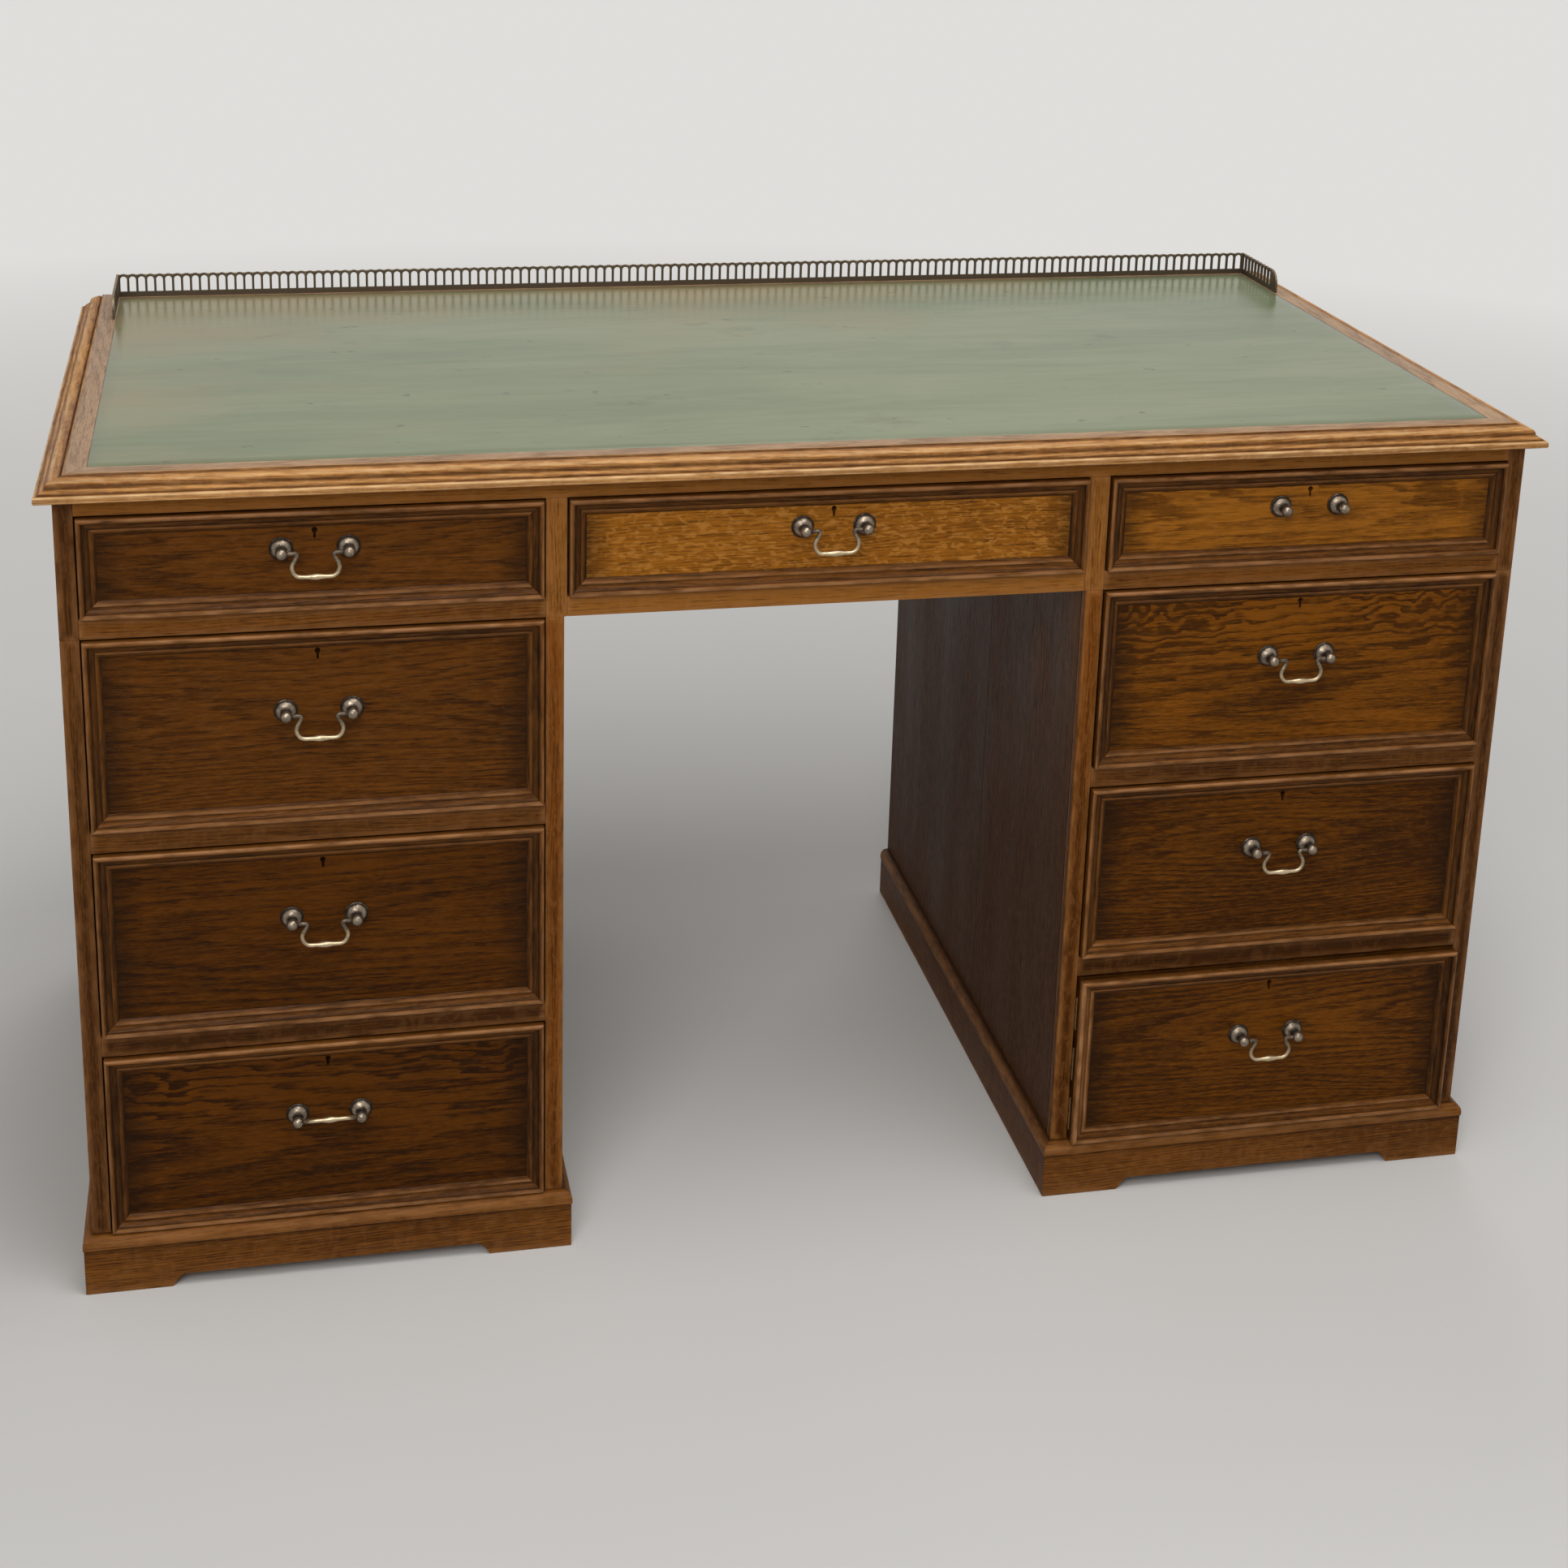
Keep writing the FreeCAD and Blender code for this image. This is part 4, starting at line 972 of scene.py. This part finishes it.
class DESK_OT_carcase(bpy.types.Operator):
    """Ends, dividers, rails, pedestal sides and backs"""
    bl_idname = "desk.carcase"
    bl_label = "Carcase"

    def execute(self, context):
        s = context.scene.desk_sizes
        finish = finish_set(context)
        brown, golden, amber = [], [], []
        for word, thick, lippings in (("end", s.board, brown), ("divider", s.divider, golden)):
            node = f"frieze_{word}s"
            low, high = corners(node)
            boards = []
            for side, near, far in (
                ("left", low, (low[0] + thick, *high[1:])),
                ("right", (high[0] - thick, *low[1:]), high),
            ):
                lipping, more = side_boards(f"{side} {word}", near, far, SIDE_JOINTS[word], s)
                lippings.append(lipping)
                boards += more
            add_piece(f"frieze_{word}_boards", boards, finish["case"], [node])

        outer = corners("frieze_dividers")[1][0]
        inner = outer - s.divider
        low, high = corners("frieze_rails")
        front, under, over = low[1] + s.rail_depth, low[2] + s.bottom_rail, high[2] - s.top_rail
        grain = (SIDEWAYS, s.arris)
        rails = [
            eased_board("back rail", (low[0], high[1] - s.rail_depth, over), high, *grain),
            eased_board("left bottom rail", low, (-outer, front, under), *grain),
            eased_board("right bottom rail", (outer, *low[1:]), (high[0], front, under), *grain),
        ]
        add_piece("frieze_rail_boards", rails, finish["rail"], ["frieze_rails"])
        golden += [
            eased_board("centre bottom rail", (-inner, *low[1:]), (inner, front, under), *grain),
            eased_board("top rail", (*low[:2], over), (high[0], front, high[2]), *grain),
        ]
        low, high = corners("frieze_back")
        joint = low[2] + s.back_joint
        boards = [eased_board("frieze back low", low, (*high[:2], joint), *grain, worn=BACK_WEAR),
                  eased_board("frieze back high", (*low[:2], joint), high, *grain, worn=BACK_WEAR)]
        add_piece("frieze_back_boards", boards, finish["back"], ["frieze_back"])

        for side in SIDES:
            for word, lippings in (("outer_side", brown), ("inner_side", amber)):
                node = f"{side}_pedestal_{word}"
                fade = DARKEST_SIDE.get(node, SIDE_FADE)
                lipping, boards = side_boards(node, *corners(node), SIDE_JOINTS[word], s, fade)
                lippings.append(lipping)
                add_piece(f"{node}_boards", boards, finish["case"], [node])
            node = f"{side}_pedestal_back"
            low, high = corners(node)
            edges = np.linspace(low[0], high[0], 4)
            boards = [
                eased_board(f"{node} {i}", (a, *low[1:]), (b, *high[1:]), UPRIGHT, s.arris * BACK_EASE,
                            worn=BACK_WEAR)
                for i, (a, b) in enumerate(zip(edges, edges[1:]))
            ]
            add_piece(f"{node}_boards", boards, finish["back"], [node])
            node = f"{side}_pedestal_rails"
            low, high = corners(node)
            rails = [
                eased_board(f"{node} low", low, (*high[:2], low[2] + s.drawer_rail), *grain),
                eased_board(f"{node} high", (*low[:2], high[2] - s.drawer_rail), high, *grain),
            ]
            add_piece(f"{node}_boards", rails, finish["case"], [node])
        add_piece("golden_front_edges", golden, finish["stile"])
        add_piece("amber_front_edges", amber, finish["amber"])
        add_piece("brown_front_edges", brown, finish["case"])
        return {"FINISHED"}


class DESK_OT_plinths(bpy.types.Operator):
    """Moulded plinths with bracket feet"""
    bl_idname = "desk.plinths"
    bl_label = "Plinths"

    def execute(self, context):
        s = context.scene.desk_sizes
        ease = np.linspace(0, 1, 6)
        climb = np.stack([s.foot + s.relief * ease, s.relief * np.sin(ease * np.pi / 2)], -1)
        half = np.concatenate([[(0, 0), (PLINTH_SQUARE, 0)], climb])
        for side in SIDES:
            node = f"{side}_pedestal_plinth"
            low, high = corners(node)
            lift = np.concatenate([half, ((high[0] - low[0], 0) + half * (-1, 1))[::-1]])
            lengths = three_sides(node, PLINTH, low, high, s.plinth, high[2] - low[2], lift)
            lengths.append(eased_board(f"{node} back", (low[0] + s.plinth, high[1] - s.plinth, low[2]),
                                       (high[0] - s.plinth, *high[1:]), SIDEWAYS, s.arris))
            add_piece(f"{side}_plinth_lengths", lengths, finish_set(context)["rail"], [node])
        return {"FINISHED"}


class DESK_OT_drawer_fronts(bpy.types.Operator):
    """Drawer panels with their keyholes, and the mitred mouldings round them"""
    bl_idname = "desk.drawer_fronts"
    bl_label = "Drawer fronts"

    def execute(self, context):
        s = context.scene.desk_sizes
        finish = finish_set(context)
        size = (-BACK, s.moulding, s.moulding_rise)
        sliver = 2 * HAIR * RIGHT
        for name in DRAWERS:
            node = f"{name}_front"
            low, high = corners(node)
            face = high[1] - s.panel
            low_left, low_right = np.array((low[0], face, low[2])), np.array((high[0], face, low[2]))
            top_left, top_right = np.array((low[0], face, high[2])), np.array((high[0], face, high[2]))
            word, shade, figure = FRONT_FINISH[name]
            body = body_of_drawer(name)
            panel = keyed_panel(name, low_left + sliver, high - sliver - HAIR * BACK, s.moulding,
                                name in QUARTER_SAWN, shade, figure)
            add_piece(f"{name}_panel", [panel], finish[word], [node], body)
            # The bottom length gets painted light, as it faces up, and the two upright lengths get painted
            # shade
            lengths = [
                moulded_length(f"{name} {edge}", DRAWER_MOULDING, start, end, inward, *size,
                               rub=RUBBED_THROUGH.get((name, edge), MOULDING_LIGHT_AND_SHADE[edge]))
                for edge, start, end, inward in (
                    ("bottom", low_left, low_right, UP),
                    ("top", top_left, top_right, -UP),
                    ("left", low_left, top_left, RIGHT),
                    ("right", low_right, top_right, -RIGHT),
                )
            ]
            add_piece(f"{name}_moulding", lengths, finish["moulding"], body=body)
        return {"FINISHED"}


class DESK_OT_handles(bpy.types.Operator):
    """Turned posts, swan-neck bails and locks"""
    bl_idname = "desk.handles"
    bl_label = "Handles"

    def execute(self, context):
        s, f = context.scene.desk_sizes, context.scene.desk_fittings
        finish = finish_set(context)
        half = f.centres / 2 * RIGHT
        for name in DRAWERS:
            low, high = corners(f"{name}_front")
            body = body_of_drawer(name)
            rise = f.frieze_rise if name in FRIEZE else f.pedestal_rise
            base = np.array(((low[0] + high[0]) / 2, high[1] - s.panel, (low[2] + high[2]) / 2 + rise))
            pins = base - f.pin_reach * BACK
            posts = [turned(POST, base + way * half, -BACK, RIGHT, UP, POST_SIDES) for way in (-1, 1)]
            if name in NO_BAIL:
                posts += [turned(COLLAR, pins + way * half, -way * RIGHT, BACK, UP, COLLAR_SIDES)
                          for way in (-1, 1)]
            add_piece(f"{name}_posts", posts, finish["post"], [f"{name}_fittings"], body,
                      ROUND_BRASS)
            lock = eased_board(
                f"{name} lock",
                (base[0] - f.lock_width / 2, high[1] - f.lock_depth, high[2] - f.lock_height),
                (base[0] + f.lock_width / 2, high[1] + 3 * HAIR, high[2] + 2 * HAIR),
                SIDEWAYS, f.lock_arris,
            )
            add_piece(f"{name}_lock_case", [lock], finish["iron"], body=body)
            if name not in NO_BAIL:
                bail = swan_neck_bail(pins).swung(RAISED_BAIL.get(name, 0.0), pins)
                add_piece(f"{name}_swan_neck", [bail], finish["bail"], [f"{name}_bail"],
                          f"{body}_bail", ROUND_BRASS)
        return {"FINISHED"}


class DESK_OT_inner_woodwork(bpy.types.Operator):
    """Finishes of the drawer boxes, runners, boards, stops and tenons"""
    bl_idname = "desk.inner_woodwork"
    bl_label = "Inner woodwork"

    def execute(self, context):
        finish = finish_set(context)
        plain = ["frieze_runners", "locating_tenons", "drawer_stops"]
        plain += [f"{side}_pedestal_{word}" for side in SIDES for word in ("runners", "boards")]
        for node, word in [(n, "plain") for n in plain] + [(f"{n}_box", "lining") for n in DRAWERS]:
            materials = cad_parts[node].data.materials
            materials.clear()
            materials.append(finish[word])
        return {"FINISHED"}


class DESK_OT_stage(bpy.types.Operator):
    """Floor, soft light and the camera"""
    bl_idname = "desk.stage"
    bl_label = "Stage"

    def execute(self, context):
        scene = context.scene
        scene.view_settings.view_transform = "Standard"
        mesh = bpy.data.meshes.new("floor")
        square = np.array([(-1, -1, 0), (1, -1, 0), (1, 1, 0), (-1, 1, 0)]) * FLOOR_HALF
        mesh.from_pydata((square - FLOOR_DROP * UP).tolist(), [], [(0, 1, 2, 3)])
        mesh.materials.append(pale_floor("pale_floor"))
        floor = bpy.data.objects.new("floor", mesh)
        scene.collection.objects.link(floor)

        for name, place, power, aim in LAMPS:
            data = bpy.data.lights.new(name, "AREA")
            data.shape, data.size, data.energy = "DISK", LAMP_SIZE, power
            lamp = bpy.data.objects.new(name, data)
            scene.collection.objects.link(lamp)
            lamp.location = place
            lamp.rotation_mode = "QUATERNION"
            lamp.rotation_quaternion = (Vector(aim) - Vector(place)).to_track_quat("-Z", "Y")
        scene.world = bpy.data.worlds.new("studio")
        f = Nodes(scene.world)
        strength = f.between(f.seen(), 0.0, 1.0, SKY_LIGHT, SKY_SEEN)
        sky = f.wire("ShaderNodeBackground", {"Color": SKY_TINT, "Strength": strength})
        f.node("ShaderNodeOutputWorld", {"Surface": sky})

        data = bpy.data.cameras.new("camera")
        data.sensor_width, data.lens, data.shift_y = CAMERA_SENSOR, CAMERA_LENS, CAMERA_SHIFT
        camera = bpy.data.objects.new("camera", data)
        scene.collection.objects.link(camera)
        turn, tilt, roll = (Matrix.Rotation(angle, 4, axis) for angle, axis in (
            (CAMERA_TURN, "Z"), (CAMERA_TILT, "X"), (CAMERA_ROLL, "Z")))
        camera.matrix_world = Matrix.Translation(CAMERA_PLACE) @ turn @ tilt @ roll
        scene.camera = camera
        return {"FINISHED"}


OPERATORS = (DESK_OT_stage, DESK_OT_top, DESK_OT_leather, DESK_OT_gallery, DESK_OT_carcase, DESK_OT_plinths,
             DESK_OT_drawer_fronts, DESK_OT_handles, DESK_OT_inner_woodwork)


class DESK_PT_panel(bpy.types.Panel):
    """Lists the pieces of the desk and its settings"""
    bl_label = "Library desk"
    bl_idname = "DESK_PT_panel"
    bl_space_type = "VIEW_3D"
    bl_region_type = "UI"
    bl_category = "Desk"

    def draw(self, context):
        for operator in OPERATORS:
            self.layout.operator(operator.bl_idname)
        for name, group in GROUPS.items():
            for key in group.__annotations__:
                self.layout.prop(getattr(context.scene, name), key)


CLASSES = (*GROUPS.values(), *OPERATORS, DESK_PT_panel)


def register():
    """Makes the settings, the operators and the panel known."""
    for each in CLASSES:
        bpy.utils.register_class(each)
    for name, group in GROUPS.items():
        setattr(bpy.types.Scene, name, bpy.props.PointerProperty(type=group))


def unregister():
    """Takes back what register() did."""
    for name in GROUPS:
        delattr(bpy.types.Scene, name)
    for each in reversed(CLASSES):
        bpy.utils.unregister_class(each)


def main():
    """Builds the whole desk on its stage."""
    register()
    bpy.ops.desk.stage()
    bpy.ops.desk.top()
    bpy.ops.desk.leather()
    bpy.ops.desk.gallery()
    bpy.ops.desk.carcase()
    bpy.ops.desk.plinths()
    bpy.ops.desk.drawer_fronts()
    bpy.ops.desk.handles()
    bpy.ops.desk.inner_woodwork()


if __name__ == "__main__":
    main()
